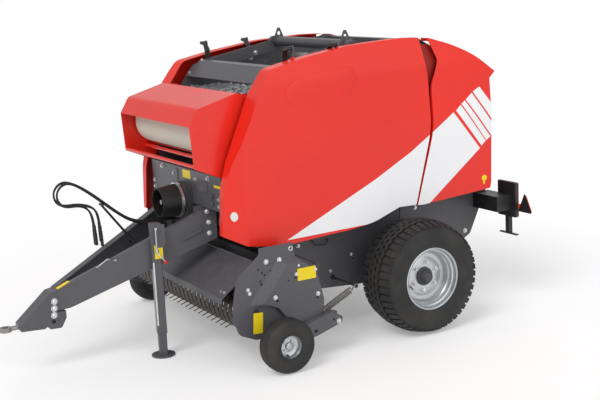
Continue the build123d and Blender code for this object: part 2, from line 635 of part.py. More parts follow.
def net_box():
    """The net box: its tray, the net roll on its spindle, and the hood that swings up."""
    inner = CHAMBER_HALF
    end = side_shape([(-1120, 1420), (-1340, 1400), (-1440, 1450), (-1478, 1560), (-1400, 1700),
                      (-1215, 1872), (-1160, 1872), (-1100, 1800)],
                     [20, 40, 30, 60, 60, 20, 20, 40], (inner - TRAY_WALL, inner))
    pin = bar_x(HOOD_PIN_RADIUS, (inner - 1, HOOD_HALF + 6), HOOD_HINGE_Y, HOOD_HINGE_Z)
    end += pin
    trough = side_shape([(-1430, 1440), (-1340, 1404), (-1130, 1424), (-1130, 1430),
                         (-1340, 1410), (-1428, 1446)], 0,
                        (-inner + TRAY_WALL, inner - TRAY_WALL))
    spindle = bar_x(NET_CORE_RADIUS - 12, (-inner + 1, inner - 1), NET_ROLL_Y, NET_ROLL_Z)
    tray = end + mirrored(end) + trough + spindle
    save("net_tray", tray)
    roll = bar_x(NET_ROLL_RADIUS, (-NET_ROLL_HALF, NET_ROLL_HALF), NET_ROLL_Y, NET_ROLL_Z)
    roll -= bar_x(NET_CORE_RADIUS - 12 + SEAT_GAP, (-inner, inner), NET_ROLL_Y, NET_ROLL_Z)
    save("net_roll", roll)
    side = side_shape(HOOD_SIDE, HOOD_SIDE_RADII, (HOOD_HALF - HOOD_WALL, HOOD_HALF))
    side -= bar_x(HOOD_PIN_RADIUS + RUNNING_FIT, (HOOD_HALF - 20, HOOD_HALF + 20),
                  HOOD_HINGE_Y, HOOD_HINGE_Z)
    side += bar_x(STRUT_EYE_RADIUS, (HOOD_HALF - 1, STRUT_X - STRUT_RADIUS - 2), *STRUT_HEAD)
    shell = side_shape(HOOD_SIDE, HOOD_SIDE_RADII, (-HOOD_HALF, HOOD_HALF))
    shell -= offset_outline(HOOD_SIDE, HOOD_SIDE_RADII, HOOD_WALL, (-HOOD_HALF - 1, HOOD_HALF + 1))
    roof = shell & side_shape(
        [(-1700, 1684), (-1560, 1684), (-1500, 1780), (-1268, 1840), (-1268, 1950),
         (-1700, 1950)], 0, (-HOOD_HALF, HOOD_HALF))
    tubes = [bar_x(HOOD_TUBE_RADIUS, (-HOOD_HALF + 2, HOOD_HALF - 2), y, z) for y, z in HOOD_TUBES]
    hood = side + mirrored(side) + roof
    for tube in tubes:
        hood += tube
    save("net_hood", hood)


def strut_direction():
    """The run of a gas strut from its foot to its head, as (length, y, z)."""
    y = STRUT_HEAD[0] - STRUT_FOOT[0]
    z = STRUT_HEAD[1] - STRUT_FOOT[1]
    length = hypot(y, z)
    return length, y / length, z / length


def strut_point(along):
    """A point on a gas strut's line, at a distance from its foot."""
    _, y, z = strut_direction()
    return (STRUT_X, STRUT_FOOT[0] + along * y, STRUT_FOOT[1] + along * z)


def gas_struts():
    """Gas struts at both sides of the hood: barrels below, rods above."""
    length = strut_direction()[0]
    width = (STRUT_X - STRUT_RADIUS + 1, STRUT_X + STRUT_RADIUS - 1)
    barrel = bar(STRUT_RADIUS, strut_point(6), strut_point(190))
    barrel += bar_x(STRUT_EYE_RADIUS, width, *STRUT_FOOT)
    barrel -= bar_x(STRUT_PIN_RADIUS + RUNNING_FIT, (600, 700), *STRUT_FOOT)
    barrel -= bar(STRUT_ROD_RADIUS + RUNNING_FIT, strut_point(20), strut_point(200))
    save("strut_barrels", Compound([barrel, mirrored(barrel)]))
    rod = bar(STRUT_ROD_RADIUS, strut_point(30), strut_point(length - 4))
    rod += bar_x(STRUT_EYE_RADIUS, width, *STRUT_HEAD)
    save("strut_rods", Compound([rod, mirrored(rod)]))


def cylinder_point(along):
    """A point on a tailgate cylinder's line, at a distance from its foot."""
    y = CYLINDER_HEAD[0] - CYLINDER_FOOT[0]
    z = CYLINDER_HEAD[1] - CYLINDER_FOOT[1]
    length = hypot(y, z)
    return (CYLINDER_X, CYLINDER_FOOT[0] + along * y / length,
            CYLINDER_FOOT[1] + along * z / length)


def tailgate_cylinders():
    """The lift cylinders at both sides: barrels on the chassis, rods towards the tailgate."""
    length = hypot(CYLINDER_HEAD[0] - CYLINDER_FOOT[0], CYLINDER_HEAD[1] - CYLINDER_FOOT[1])
    half = CYLINDER_EYE_WIDTH / 2
    barrel = bar(CYLINDER_RADIUS, cylinder_point(36), cylinder_point(CYLINDER_BARREL))
    barrel += bar(half - 3, cylinder_point(CYLINDER_PIN_RADIUS + 2), cylinder_point(40))
    barrel += bar_x(CYLINDER_EYE_RADIUS, (CYLINDER_X - half, CYLINDER_X + half), *CYLINDER_FOOT)
    barrel -= bar_x(CYLINDER_PIN_RADIUS + RUNNING_FIT, (600, 800), *CYLINDER_FOOT)
    barrel -= bar(CYLINDER_ROD_RADIUS + RUNNING_FIT, cylinder_point(60),
                  cylinder_point(CYLINDER_BARREL + 10))
    save("cylinder_barrels", Compound([barrel, mirrored(barrel)]))
    rod = bar(CYLINDER_ROD_RADIUS, cylinder_point(CYLINDER_BARREL - 280),
              cylinder_point(length - 8))
    rod += bar_x(CYLINDER_EYE_RADIUS, (CYLINDER_X - half, CYLINDER_X + half), *CYLINDER_HEAD)
    rod -= bar_x(CYLINDER_PIN_RADIUS + RUNNING_FIT, (600, 800), *CYLINDER_HEAD)
    save("cylinder_rods", Compound([rod, mirrored(rod)]))


def top_frame():
    """The sloped beam over the front, the rails behind it and the lifting bar with its lugs."""
    inner = CHAMBER_HALF
    beam = side_shape([(-1082, 1926), (-955, 2032), (-905, 2040), (-905, 2034), (-953, 2026),
                       (-1078, 1921)], 0, (-inner, inner))
    save("cross_beam", beam)
    rail = side_shape([(-905, 1950), (-905, 2048), (-340, 2152), (LIFT_Y - 40, RAIL_TOP_Z),
                       (LIFT_Y + 40, RAIL_TOP_Z), (-190, 2150), (-200, 2096), (-322, 2066)],
                      [0, 10, 40, 20, 20, 20, 20, 40], (520, 528))
    rail -= bar_x(LIFT_RADIUS + SEAT_GAP, (500, 600), LIFT_Y, LIFT_Z)
    save("top_rails", Compound([rail, mirrored(rail)]))
    tube = bar_x(LIFT_RADIUS, (-inner, inner), LIFT_Y, LIFT_Z)
    lug = side_shape([(LIFT_Y - 56, LIFT_Z), (LIFT_Y - 8, 2249), (LIFT_Y + 8, 2249),
                      (LIFT_Y + 56, LIFT_Z)], [0, 8, 8, 0], (490, 506))
    lug -= bar_x(LUG_HOLE_RADIUS, (480, 520), LIFT_Y, LUG_HOLE_Z)
    save("lifting_bar", tube + lug + mirrored(lug))


def tailgate():
    """The tailgate's side plates with their pivot ears, its rear wall and its lamps."""
    inner = CHAMBER_HALF
    outer = inner + PLATE
    plate = side_shape(TAILGATE_PLATE_OUTLINE, TAILGATE_PLATE_RADII, (inner, outer))
    ear_x = (outer + MOVING_GAP, outer + MOVING_GAP + EAR_WALL)
    ear = side_shape([(PIVOT_Y - 40, PIVOT_Z + 40), (PIVOT_Y + 60, PIVOT_Z + 30),
                      (520, 2020), (500, 1900), (330, 1900), (PIVOT_Y - 42, PIVOT_Z - 42)],
                     [40, 60, 40, 40, 40, 40], ear_x)
    spacer = side_shape([(330, 2010), (500, 2000), (480, 1920), (340, 1920)], 10,
                        (outer - 1, ear_x[0] + 1))
    hole = bar_x(PIVOT_PIN_RADIUS + RUNNING_FIT, (outer, outer + 60), PIVOT_Y, PIVOT_Z)
    boss = bar_x(CYLINDER_EYE_RADIUS,
                 (ear_x[1] - 1, CYLINDER_X - CYLINDER_EYE_WIDTH / 2 - MOVING_GAP), *CYLINDER_HEAD)
    tabs = block((outer - 1, COVER_INNER_X), (470, 510), (2030, 2103))
    tabs += block((outer - 1, COVER_INNER_X), (780, 826), (1400, 1460))
    left = plate + ear + spacer + boss + tabs - hole
    save("tailgate_plates", Compound([left, mirrored(left)]))
    wall = side_shape(
        [(430, 2080), (640, 1985), (800, 1760), (800, 1500), (770, 990), (707, 560), (707, 552),
         (776, 990), (806, 1500), (806, 1764), (642, 1992), (430, 2087)],
        [0, 200, 120, 200, 60, 0, 0, 60, 200, 120, 200, 0], (-inner + 0.3, inner - 0.3))
    save("tailgate_wall", wall)
    lamp_bar = block((outer, LAMP_X[1] - 40), (LAMP_Y[0] - 150, LAMP_Y[0]), (770, 890))
    save("lamp_arms", Compound([lamp_bar, mirrored(lamp_bar)]))
    lamp = block(LAMP_X, LAMP_Y, LAMP_Z)
    save("lamps", Compound([lamp, mirrored(lamp)]))
    plate = across_shape(TRIANGLE, 14, (LAMP_REACH - 4, LAMP_REACH))
    arm = block((LAMP_X[1], TRIANGLE[0][0] + 30), (LAMP_REACH - 10, LAMP_REACH - 4), (780, 820))
    save("triangles", Compound([plate + arm, mirrored(plate + arm)]))
    strap = block((825, 865), LAMP_Y, (LAMP_HANGER_Z, LAMP_Z[0]))
    foot = block(LAMP_X, (LAMP_Y[0] + 6, LAMP_Y[1] - 6), (LAMP_HANGER_Z - 10, LAMP_HANGER_Z))
    save("lamp_hangers", Compound([strap + foot, mirrored(strap + foot)]))


def pickup():
    """The pick-up: side shields, stripper bands, the tined reel and the wind guard."""
    half = PICKUP_HALF
    shield = side_shape(SHIELD_SIDE, SHIELD_SIDE_RADII, (half, half + SHIELD_WALL))
    shield -= bar_x(REEL_SHAFT_RADIUS + RUNNING_FIT, (half - 1, half + SHIELD_WALL + 1), REEL_Y,
                    REEL_Z)
    save("pickup_shields", Compound([shield, mirrored(shield)]))
    bands = []
    count = TINES_PER_BAR + 1
    for index in range(count):
        x = (index - (count - 1) / 2) * TINE_PITCH
        bands.append(stripper_band(x))
    frame = block((-half, half), PICKUP_BACK_Y, (REEL_Z - BAND_RADIUS, REEL_Z + BAND_RADIUS))
    for band in bands:
        frame += band
    save("stripper_bands", frame)
    tube = bar_x(PICKUP_TUBE_RADIUS, (-half, half), PICKUP_PIVOT_Y, PICKUP_PIVOT_Z)
    save("pickup_tube", tube)
    save("tine_reel", tine_reel())
    guard = side_shape(
        [(GUARD_REAR_Y, GUARD_REAR_Z), (GUARD_FRONT_Y, GUARD_FRONT_Z),
         (GUARD_FRONT_Y - 10, GUARD_FRONT_Z - GUARD_LIP),
         (GUARD_FRONT_Y - 5, GUARD_FRONT_Z - GUARD_LIP),
         (GUARD_FRONT_Y + 4, GUARD_FRONT_Z - 4), (GUARD_REAR_Y, GUARD_REAR_Z - GUARD_WALL)],
        0, (-GUARD_HALF, GUARD_HALF))
    guard += bar_x(GUARD_BAR_RADIUS, (-half, half), GUARD_REAR_Y, GUARD_REAR_Z - GUARD_WALL)
    save("wind_guard", guard)
    arm = side_shape([(-1300, 160), (-1300, 225), (-760, 300), (-742, 290), (-742, 225),
                      (-975, 165)], 10, (half + SHIELD_WALL, half + SHIELD_WALL + 12))
    spindle = bar_x(GAUGE_WHEEL.bore_radius,
                    (half + SHIELD_WALL + 6, GAUGE_WHEEL_X + spindle_end(GAUGE_WHEEL)),
                    GAUGE_WHEEL_Y, GAUGE_WHEEL.outer_radius)
    arm += spindle
    save("gauge_arms", Compound([arm, mirrored(arm)]))


def stripper_band(x):
    """One curved band between two rows of tines: a U about the reel, open to the rear."""
    outer = BAND_RADIUS
    inner = outer - BAND_WALL
    half = BAND_WIDTH / 2
    rear = PICKUP_BACK_Y[0] + 1 - REEL_Y
    top = Line((rear, outer), (0, outer))
    nose = ThreePointArc((0, outer), (-outer, 0), (0, -outer))
    low = Line((0, -outer), (60, -outer))
    tail = Line((60, -outer), (60, -inner))
    low_in = Line((60, -inner), (0, -inner))
    nose_in = ThreePointArc((0, -inner), (-inner, 0), (0, inner))
    top_in = Line((0, inner), (rear, inner))
    close = Line((rear, inner), (rear, outer))
    face = Face(Wire([top, nose, low, tail, low_in, nose_in, top_in, close]))
    plane = Plane(origin=(x - half, REEL_Y, REEL_Z), x_dir=(0, 1, 0), z_dir=(1, 0, 0))
    return extrude(plane * face, amount=BAND_WIDTH)


def tine_reel():
    """The reel: its shaft, end discs, tine bars and a row of tines on each bar."""
    end = PICKUP_HALF - MOVING_GAP
    reach = PICKUP_HALF + SHIELD_WALL
    reel = bar_x(REEL_SHAFT_RADIUS, (-reach, reach), REEL_Y, REEL_Z)
    for side in (-1, 1):
        x = sorted((side * (end - 8), side * end))
        reel += bar_x(TINE_BAR_RADIUS + 22, x, REEL_Y, REEL_Z)
    for bar_index in range(TINE_BARS):
        angle = radians(45 + bar_index * 360 / TINE_BARS)
        bar_y = REEL_Y + TINE_BAR_RADIUS * cos(angle)
        bar_z = REEL_Z + TINE_BAR_RADIUS * sin(angle)
        reel += bar_x(14, (-end + 2, end - 2), bar_y, bar_z)
        for tine in range(TINES_PER_BAR):
            x = (tine - (TINES_PER_BAR - 1) / 2) * TINE_PITCH
            tip = (x, REEL_Y + TINE_TIP_RADIUS * cos(angle - 0.25),
                   REEL_Z + TINE_TIP_RADIUS * sin(angle - 0.25))
            reel += bar(TINE_RADIUS, (x, bar_y, bar_z), tip)
    return reel


def hose_points(hose):
    """A hose's corner points: its own rise, loop, tail and drop added to the common route."""
    points = []
    for index, (y, z) in enumerate(HOSE_ROUTE):
        if index in HOSE_LOOP:
            y += hose.loop
        if index in HOSE_TAIL:
            y += hose.tail
        if index == len(HOSE_ROUTE) - 1:
            z += hose.drop
        points.append((hose.x, y, z + hose.rise))
    return points


def bend_radii(points):
    """The bend at each corner between straight runs, from the shorter run and the turn."""
    radii = []
    for before, corner, after in zip(points, points[1:], points[2:]):
        first = Vector(*corner) - Vector(*before)
        second = Vector(*after) - Vector(*corner)
        turn = radians(first.get_angle(second))
        radii.append(HOSE_FILLET * min(first.length, second.length) / tan(turn / 2))
    return radii


def hoses():
    """The hoses with their plugs, and the holder on the right arm that they lie on."""
    tubes = []
    plugs = []
    for hose in HOSES:
        points = hose_points(hose)
        radii = bend_radii(points)
        print("hose", hose.x, "tightest bend", round(min(radii), 1))
        path = FilletPolyline(*points, radius=radii)
        section = Plane(origin=points[0], z_dir=(0, -1, 0)) * Circle(HOSE_RADIUS)
        tubes.append(sweep(section, path=path))
        run = (Vector(*points[-1]) - Vector(*points[-2])).normalized()
        start = Vector(*points[-1])
        plug = bar(PLUG_RADIUS, tuple(start), tuple(start + run * PLUG_LENGTH))
        plugs.append(plug)
    save("hoses", Compound(tubes))
    save("hose_plugs", Compound(plugs))
    holder = bar_x(HOLDER_RADIUS, (-300, HOLDER_X), *HOLDER_FOOT)
    holder += Pos(HOLDER_X, *HOLDER_FOOT) * Sphere(HOLDER_RADIUS)
    holder += bar(HOLDER_RADIUS, (HOLDER_X, *HOLDER_FOOT), (HOLDER_X, *HOLDER_TOP))
    holder += bar_x(HOLDER_RADIUS, (HOSES[0].x - 12, HOSES[-1].x + 12), *HOLDER_TOP)
    beyond_web = arm_place() * block((-ARM_WALL, 200), (-1000, 100), (0, 2000))
    holder -= mirrored(beyond_web)
    save("hose_holder", holder)


def main():
    """Write every piece."""
    wheels()
    axle()
    side_plates()
    rollers()
    front_frame()
    throat()
    gearbox()
    power_cone()
    drawbar()
    hitch()
    jack()
    side_covers()
    cover_hinges()
    net_box()
    gas_struts()
    tailgate_cylinders()
    top_frame()
    tailgate()
    pickup()
    hoses()


main()
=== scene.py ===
"""Looks of a towed round baler: finishes and fine pieces laid over its fixed frame.

Lengths in the piece functions are millimetres from the point on the ground under the main
axle: X to the machine's left, Y to its rear, Z up. at() turns them into the frame's metres.
"""

from itertools import product
from math import acos, atan2, cos, hypot, pi, radians, sin, tan

import bmesh
import bpy
from mathutils import Matrix, Vector
from mathutils.bvhtree import BVHTree


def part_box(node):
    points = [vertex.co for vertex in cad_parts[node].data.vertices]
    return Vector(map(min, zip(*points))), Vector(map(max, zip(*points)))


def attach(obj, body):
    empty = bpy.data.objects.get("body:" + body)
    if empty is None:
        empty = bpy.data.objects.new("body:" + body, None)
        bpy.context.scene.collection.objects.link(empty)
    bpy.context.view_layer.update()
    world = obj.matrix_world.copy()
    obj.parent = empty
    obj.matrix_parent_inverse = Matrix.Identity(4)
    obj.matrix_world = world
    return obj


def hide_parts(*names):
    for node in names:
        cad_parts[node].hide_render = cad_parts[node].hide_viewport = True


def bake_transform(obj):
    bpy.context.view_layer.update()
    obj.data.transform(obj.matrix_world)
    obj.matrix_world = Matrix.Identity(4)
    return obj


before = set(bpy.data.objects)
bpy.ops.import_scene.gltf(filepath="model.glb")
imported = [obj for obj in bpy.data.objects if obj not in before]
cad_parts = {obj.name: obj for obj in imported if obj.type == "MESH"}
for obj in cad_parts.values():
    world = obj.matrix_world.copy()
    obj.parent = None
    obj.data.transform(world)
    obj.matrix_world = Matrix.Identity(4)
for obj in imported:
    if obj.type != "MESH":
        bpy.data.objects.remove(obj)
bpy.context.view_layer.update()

bl_info = {
    "name": "Round baler looks",
    "version": (1, 0, 0),
    "blender": (4, 5, 0),
    "location": "3D View > Sidebar > Baler",
    "description": "Finishes and fine pieces of a towed round baler",
    "category": "Object",
}

SIDES = ((1, "left"), (-1, "right"))
AXLE_Y = sum(corner.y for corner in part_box("tyre_left")) / 2


def at(x, y, z):
    """A point of the frame, in metres, from millimetres about the axle's ground point."""
    return Vector((x / 1000, AXLE_Y + y / 1000, z / 1000))


# Sizes and colours that a user may change

def colour(name, about, value):
    """A colour property."""
    return bpy.props.FloatVectorProperty(
        name=name, description=about, default=value, size=3, min=0, max=1, subtype="COLOR")


def length(name, about, value):
    """A length property, in metres."""
    return bpy.props.FloatProperty(
        name=name, description=about, default=value, min=0, subtype="DISTANCE", unit="LENGTH")


class BALER_PG_colours(bpy.types.PropertyGroup):
    """Colours of the machine's finishes."""

    red: colour("Red", "Moulded covers and net box", (0.84, 0.018, 0.006))
    stripe: colour("Stripe", "Band and stripes on the covers", (0.93, 0.93, 0.95))
    grey: colour("Grey", "Painted frame, drawbar and pick-up", (0.085, 0.083, 0.094))
    black: colour("Black", "Brackets and lamp arms", (0.014, 0.014, 0.016))
    zinc: colour("Zinc", "Galvanised rims and fittings", (0.56, 0.58, 0.60))
    steel: colour("Steel", "Bare steel", (0.33, 0.32, 0.31))
    tine: colour("Tines", "Tines and stripper bands", (0.085, 0.075, 0.070))
    rubber: colour("Rubber", "Tyres", (0.020, 0.020, 0.021))
    net: colour("Net", "Net roll", (0.80, 0.755, 0.64))
    plate: colour("Plate", "Blank plates", (0.92, 0.70, 0.010))


class BALER_PG_sizes(bpy.types.PropertyGroup):
    """Sizes of the fine pieces."""

    hose_bore: length("Hose", "Diameter of a hose", 0.014)
    lug_height: length("Lug height", "Depth of the main tyres' tread", 0.019)
    camera_lens: length("Lens", "Focal length of the camera", 0.06946)


def colours():
    """The scene's colour settings."""
    return bpy.context.scene.baler_colours


def sizes():
    """The scene's size settings."""
    return bpy.context.scene.baler_sizes


# Shader maths

def maths(operation, swapped=False):
    """A method that puts a Math node on a wire and, where there is one, another value."""
    def method(self, other=None):
        values = [value for value in (self, other) if value is not None]
        if swapped:
            values.reverse()
        return self.shader.node("ShaderNodeMath", {"operation": operation},
                                dict(enumerate(values)))
    return method


class Wire:
    """A socket's value that can be used in an expression."""

    def __init__(self, shader, socket):
        self.shader = shader
        self.socket = socket

    __add__ = maths("ADD")
    __radd__ = maths("ADD", True)
    __sub__ = maths("SUBTRACT")
    __mul__ = maths("MULTIPLY")
    __or__ = maths("MAXIMUM")
    __and__ = maths("MINIMUM")
    __abs__ = maths("ABSOLUTE")
    sine = maths("SINE")

    def smooth(self, low, high):
        """0 below low, 1 above high and a soft step between."""
        return self.shader.node(
            "ShaderNodeMapRange", {"interpolation_type": "SMOOTHSTEP"},
            {"Value": self, "From Min": low, "From Max": high})


class Shader:
    """One material's nodes."""

    def __init__(self, name):
        self.material = bpy.data.materials.new(name)
        self.material.use_nodes = True
        self.tree = self.material.node_tree
        self.tree.nodes.clear()
        place = self.tree.nodes.new("ShaderNodeTexCoord")
        self.place = Wire(self, place.outputs["Object"])
        self.x, self.y, self.z = self.parts(self.place)

    def node(self, kind, settings=None, inputs=None, out=0):
        """A node of any kind: its settings, then its inputs; gives one of its outputs."""
        made = self.tree.nodes.new(kind)
        for key, value in (settings or {}).items():
            setattr(made, key, value)
        for key, value in (inputs or {}).items():
            if isinstance(value, Wire):
                self.tree.links.new(value.socket, made.inputs[key])
            else:
                made.inputs[key].default_value = value
        return Wire(self, made.outputs[out])

    def parts(self, vector):
        """X, Y and Z of a vector."""
        first = self.node("ShaderNodeSeparateXYZ", None, {0: vector})
        return [Wire(self, socket) for socket in first.socket.node.outputs]

    def noise(self, scale, detail=4.0, rough=0.55, stretch=None):
        """Soft noise about 0.5 over the surface."""
        where = self.place
        if stretch:
            where = self.node("ShaderNodeVectorMath", {"operation": "MULTIPLY"},
                              {0: where, 1: stretch})
        return self.node("ShaderNodeTexNoise", None,
                         {"Vector": where, "Scale": scale, "Detail": detail,
                          "Roughness": rough})

    def mix(self, share, first, second):
        """A colour between two colours."""
        tints = [value if isinstance(value, Wire) else (*value[:3], 1)
                 for value in (first, second)]
        return self.node("ShaderNodeMix", {"data_type": "RGBA"},
                         {0: share, 6: tints[0], 7: tints[1]}, out=2)

    def normal(self):
        """X, Y and Z of the surface's own direction."""
        return self.parts(self.node("ShaderNodeNewGeometry", None, None, out="Normal"))

    def finish(self, colour, roughness, bump=None, strength=0.2, distance=0.001, **fixed):
        """The surface shader: what varies is linked, fixed values are set on its sockets."""
        inputs = {"Base Color": colour if isinstance(colour, Wire) else (*colour[:3], 1),
                  "Roughness": roughness}
        if bump is not None:
            inputs["Normal"] = self.node(
                "ShaderNodeBump", None,
                {"Strength": strength, "Distance": distance, "Height": bump})
        inputs.update({key.replace("_", " "): value for key, value in fixed.items()})
        surface = self.node("ShaderNodeBsdfPrincipled", None, inputs)
        end = self.tree.nodes.new("ShaderNodeOutputMaterial")
        self.tree.links.new(surface.socket, end.inputs["Surface"])
        return self.material


def shade(tint, factor):
    """A lighter or darker tint."""
    return tuple(min(1.0, value * factor) for value in tint[:3])


MATERIALS = {}


def paint(name, tint, roughness, coat, dust, peel=0.10):
    """Sprayed paint: slight cloudiness, orange peel, dust on what faces up."""
    s = Shader(name)
    cloud = s.noise(2.6, 3)
    fine = s.noise(28, 5, 0.7)
    up = s.normal()[2]
    settled = (up.smooth(0.2, 1.0) * 0.7 + 0.3) * fine.smooth(0.42, 0.75) * dust
    body = s.mix(cloud, shade(tint, 0.88), shade(tint, 1.12))
    body = s.mix(settled, body, (0.33, 0.30, 0.26))
    rough = roughness + cloud * 0.10 - 0.05 + settled * 0.5
    return s.finish(body, rough, s.noise(330, 2), peel, 0.0004,
                    Coat_Weight=coat, Coat_Roughness=0.08)


def metal(name, tint, roughness, spangle=0.25, grain=9.0):
    """Metal with a mottled surface, as hot-dip zinc has."""
    s = Shader(name)
    cell = s.node("ShaderNodeTexVoronoi", {"feature": "F1"},
                  {"Vector": s.place, "Scale": grain * 9}, out="Color")
    flake = s.parts(cell)[0]
    cloud = s.noise(grain, 5, 0.65)
    share = flake * spangle + cloud * (1 - spangle)
    body = s.mix(share, shade(tint, 0.70), shade(tint, 1.22))
    rough = roughness + flake * 0.12 - 0.06 + cloud * 0.1
    return s.finish(body, rough, s.noise(240, 3), 0.08, 0.0004, Metallic=0.9)


def rubber(name, tint):
    """Tyre rubber, clouded with road dust and finely pitted."""
    s = Shader(name)
    cloud = s.noise(5, 5, 0.6)
    fine = s.noise(90, 4, 0.7)
    body = s.mix(cloud.smooth(0.35, 0.75), shade(tint, 0.8), (0.040, 0.037, 0.033))
    return s.finish(body, 0.62 + fine * 0.2, fine, 0.22, 0.0008)


def moulded(name, tint, roughness):
    """Plain moulded plastic or rubber with a fine grain."""
    s = Shader(name)
    fine = s.noise(160, 4, 0.6)
    cloud = s.noise(9, 3)
    body = s.mix(cloud, shade(tint, 0.85), shade(tint, 1.25))
    return s.finish(body, roughness + fine * 0.14, fine, 0.15, 0.0005)


# (y, z) corners, clockwise, of the white band in convex parts and of the narrow stripes
BAND = [
    [(-1045, 836), (-287, 1166), (-287, 847), (-300, 846)],
    [(-300, 846), (-300, 1159), (34, 1326), (34, 878)],
    [(22, 876), (22, 1318), (262, 1464), (300, 1100), (60, 880)],
    [(225, 1440), (454, 1586), (700, 1284), (175, 900), (60, 880)]]
STRIPES = [
    [(480, 1597), (527, 1636), (757, 1335), (716, 1301)],
    [(536, 1643), (570, 1665), (805, 1364), (764, 1338)],
    [(581, 1671), (642, 1716), (842, 1448), (812, 1374)],
    [(653, 1724), (720, 1757), (850, 1590), (846, 1465)]]


# (y, z) corners round the hinge lugs, which stand above the front covers' skin
LUGS = [[(-905, 2100), (-905, 2195), (-835, 2195), (-835, 2100)],
        [(-535, 2147), (-535, 2195), (-465, 2195), (-465, 2147)]]


def polygon(across, up, corners, soft=0.0012):
    """A mask that is 1 inside a convex polygon, its (y, z) corners clockwise."""
    mask = None
    for (ay, az), (by, bz) in zip(corners, corners[1:] + corners[:1]):
        run = hypot(by - ay, bz - az)
        ny, nz = (bz - az) / run, -(by - ay) / run
        start = at(0, ay, az)
        inside = across * ny + up * nz - (start.y * ny + start.z * nz)
        edge = inside.smooth(-soft, soft)
        mask = edge if mask is None else mask & edge
    return mask


def cover_red(name):
    """Glossy moulded red with the white band and stripes, and the grey hinge lugs."""
    s = Shader(name)
    tint, white = colours().red, colours().stripe
    cloud = s.noise(1.7, 3)
    fine = s.noise(35, 5, 0.7)
    body = s.mix(cloud, shade(tint, 0.90), shade(tint, 1.10))
    side = abs(s.normal()[0]).smooth(0.45, 0.6)
    band = polygon(s.y, s.z, BAND[0])
    for corners in BAND[1:] + STRIPES:
        band = band | polygon(s.y, s.z, corners)
    band = band * side
    body = s.mix(band, body, s.mix(cloud, shade(white, 0.96), shade(white, 1.03)))
    body = s.mix(fine.smooth(0.60, 0.80) * 0.05, body, (0.35, 0.31, 0.27))
    lugs = polygon(s.y, s.z, LUGS[0]) | polygon(s.y, s.z, LUGS[1])
    body = s.mix(lugs, body, colours().grey)
    return s.finish(body, 0.40 + cloud * 0.08, s.noise(5.5, 2), 0.03, 0.004,
                    Coat_Weight=0.18, Coat_Roughness=0.12)


def net_wrap(name):
    """The edge-wound net: fine turns round the roll and a woven bloom."""
    s = Shader(name)
    turns = (s.x * 2400).sine()
    weave = s.noise(60, 5, 0.7, stretch=(1.0, 6.0, 6.0))
    body = s.mix(weave, shade(colours().net, 0.86), shade(colours().net, 1.10))
    return s.finish(body, 0.75, turns * 0.4 + weave, 0.35, 0.0009, Sheen_Weight=0.2)


def lens(name, tint):
    """A moulded lamp lens with fine ribs."""
    s = Shader(name)
    ribs = (s.x * 900).sine() * (s.z * 900).sine()
    body = s.mix(s.noise(12), shade(tint, 0.8), shade(tint, 1.15))
    return s.finish(body, 0.16, ribs, 0.3, 0.0012, Coat_Weight=0.7, Coat_Roughness=0.04)


def sheet_plate(name, tint):
    """A blank stuck-on plate: flat colour, slightly worn and dusty."""
    s = Shader(name)
    worn = s.noise(45, 5, 0.7)
    body = s.mix(worn.smooth(0.55, 0.8) * 0.35, tint, shade(tint, 0.72))
    return s.finish(body, 0.38 + worn * 0.15, worn, 0.05, 0.0004)


def make_materials():
    """Every finish of the machine, by name."""
    c = colours()
    MATERIALS.update({
        "cover": cover_red("moulded_red"),
        "red": paint("red_paint", c.red, 0.34, 0.25, 0.04),
        "grey": paint("grey_paint", c.grey, 0.42, 0.1, 0.14),
        # a darker copy of the grey as painted shade, on the throat's roof and floor, the pick-up's
        # tube and the sheet behind the wind guard
        "painted_shade_grey": paint("shaded_grey_paint", shade(c.grey, 0.55), 0.5, 0.0, 0.2),
        "black": paint("black_paint", c.black, 0.42, 0.05, 0.10),
        "zinc": metal("galvanised", c.zinc, 0.30),
        "steel": metal("bare_steel", c.steel, 0.36, 0.1, 22),
        "tine": metal("tine_steel", c.tine, 0.45, 0.1, 14),
        "chrome": metal("chrome_rod", (0.80, 0.81, 0.83), 0.08, 0.02, 5),
        "cast": paint("cast_paint", shade(c.grey, 0.7), 0.6, 0.0, 0.25, 0.5),
        "rubber": rubber("tyre_rubber", c.rubber),
        "plastic": moulded("black_plastic", (0.012, 0.012, 0.013), 0.42),
        "hose": moulded("hose_rubber", (0.010, 0.010, 0.011), 0.55),
        "net": net_wrap("net_wrap"),
        "lens": lens("red_lens", (0.45, 0.010, 0.008)),
        "white_lens": lens("white_reflector", (0.80, 0.80, 0.78)),
        "orange": sheet_plate("orange_reflector", (0.80, 0.10, 0.015)),
        "plate": sheet_plate("blank_plate", c.plate),
        "white": sheet_plate("white_plate", (0.75, 0.75, 0.74)),
        "bright": metal("bright_zinc", (0.70, 0.71, 0.72), 0.26, 0.15, 30),
        # near black: real plugs, and painted shade where a hole is open
        "plug_and_hole_shade": moulded("dark_plug", (0.004, 0.004, 0.004), 0.7),
        "knob": moulded("red_knob", (0.62, 0.02, 0.012), 0.35),
        # the covers' red darkened as painted shade, for the strip in the gap between them
        "recess_shade": paint("recess_red", shade(c.red, 0.40), 0.55, 0.0, 0.05),
        "film": paint("silver_film", (0.26, 0.27, 0.30), 0.24, 0.4, 0.02, 0.4),
    })


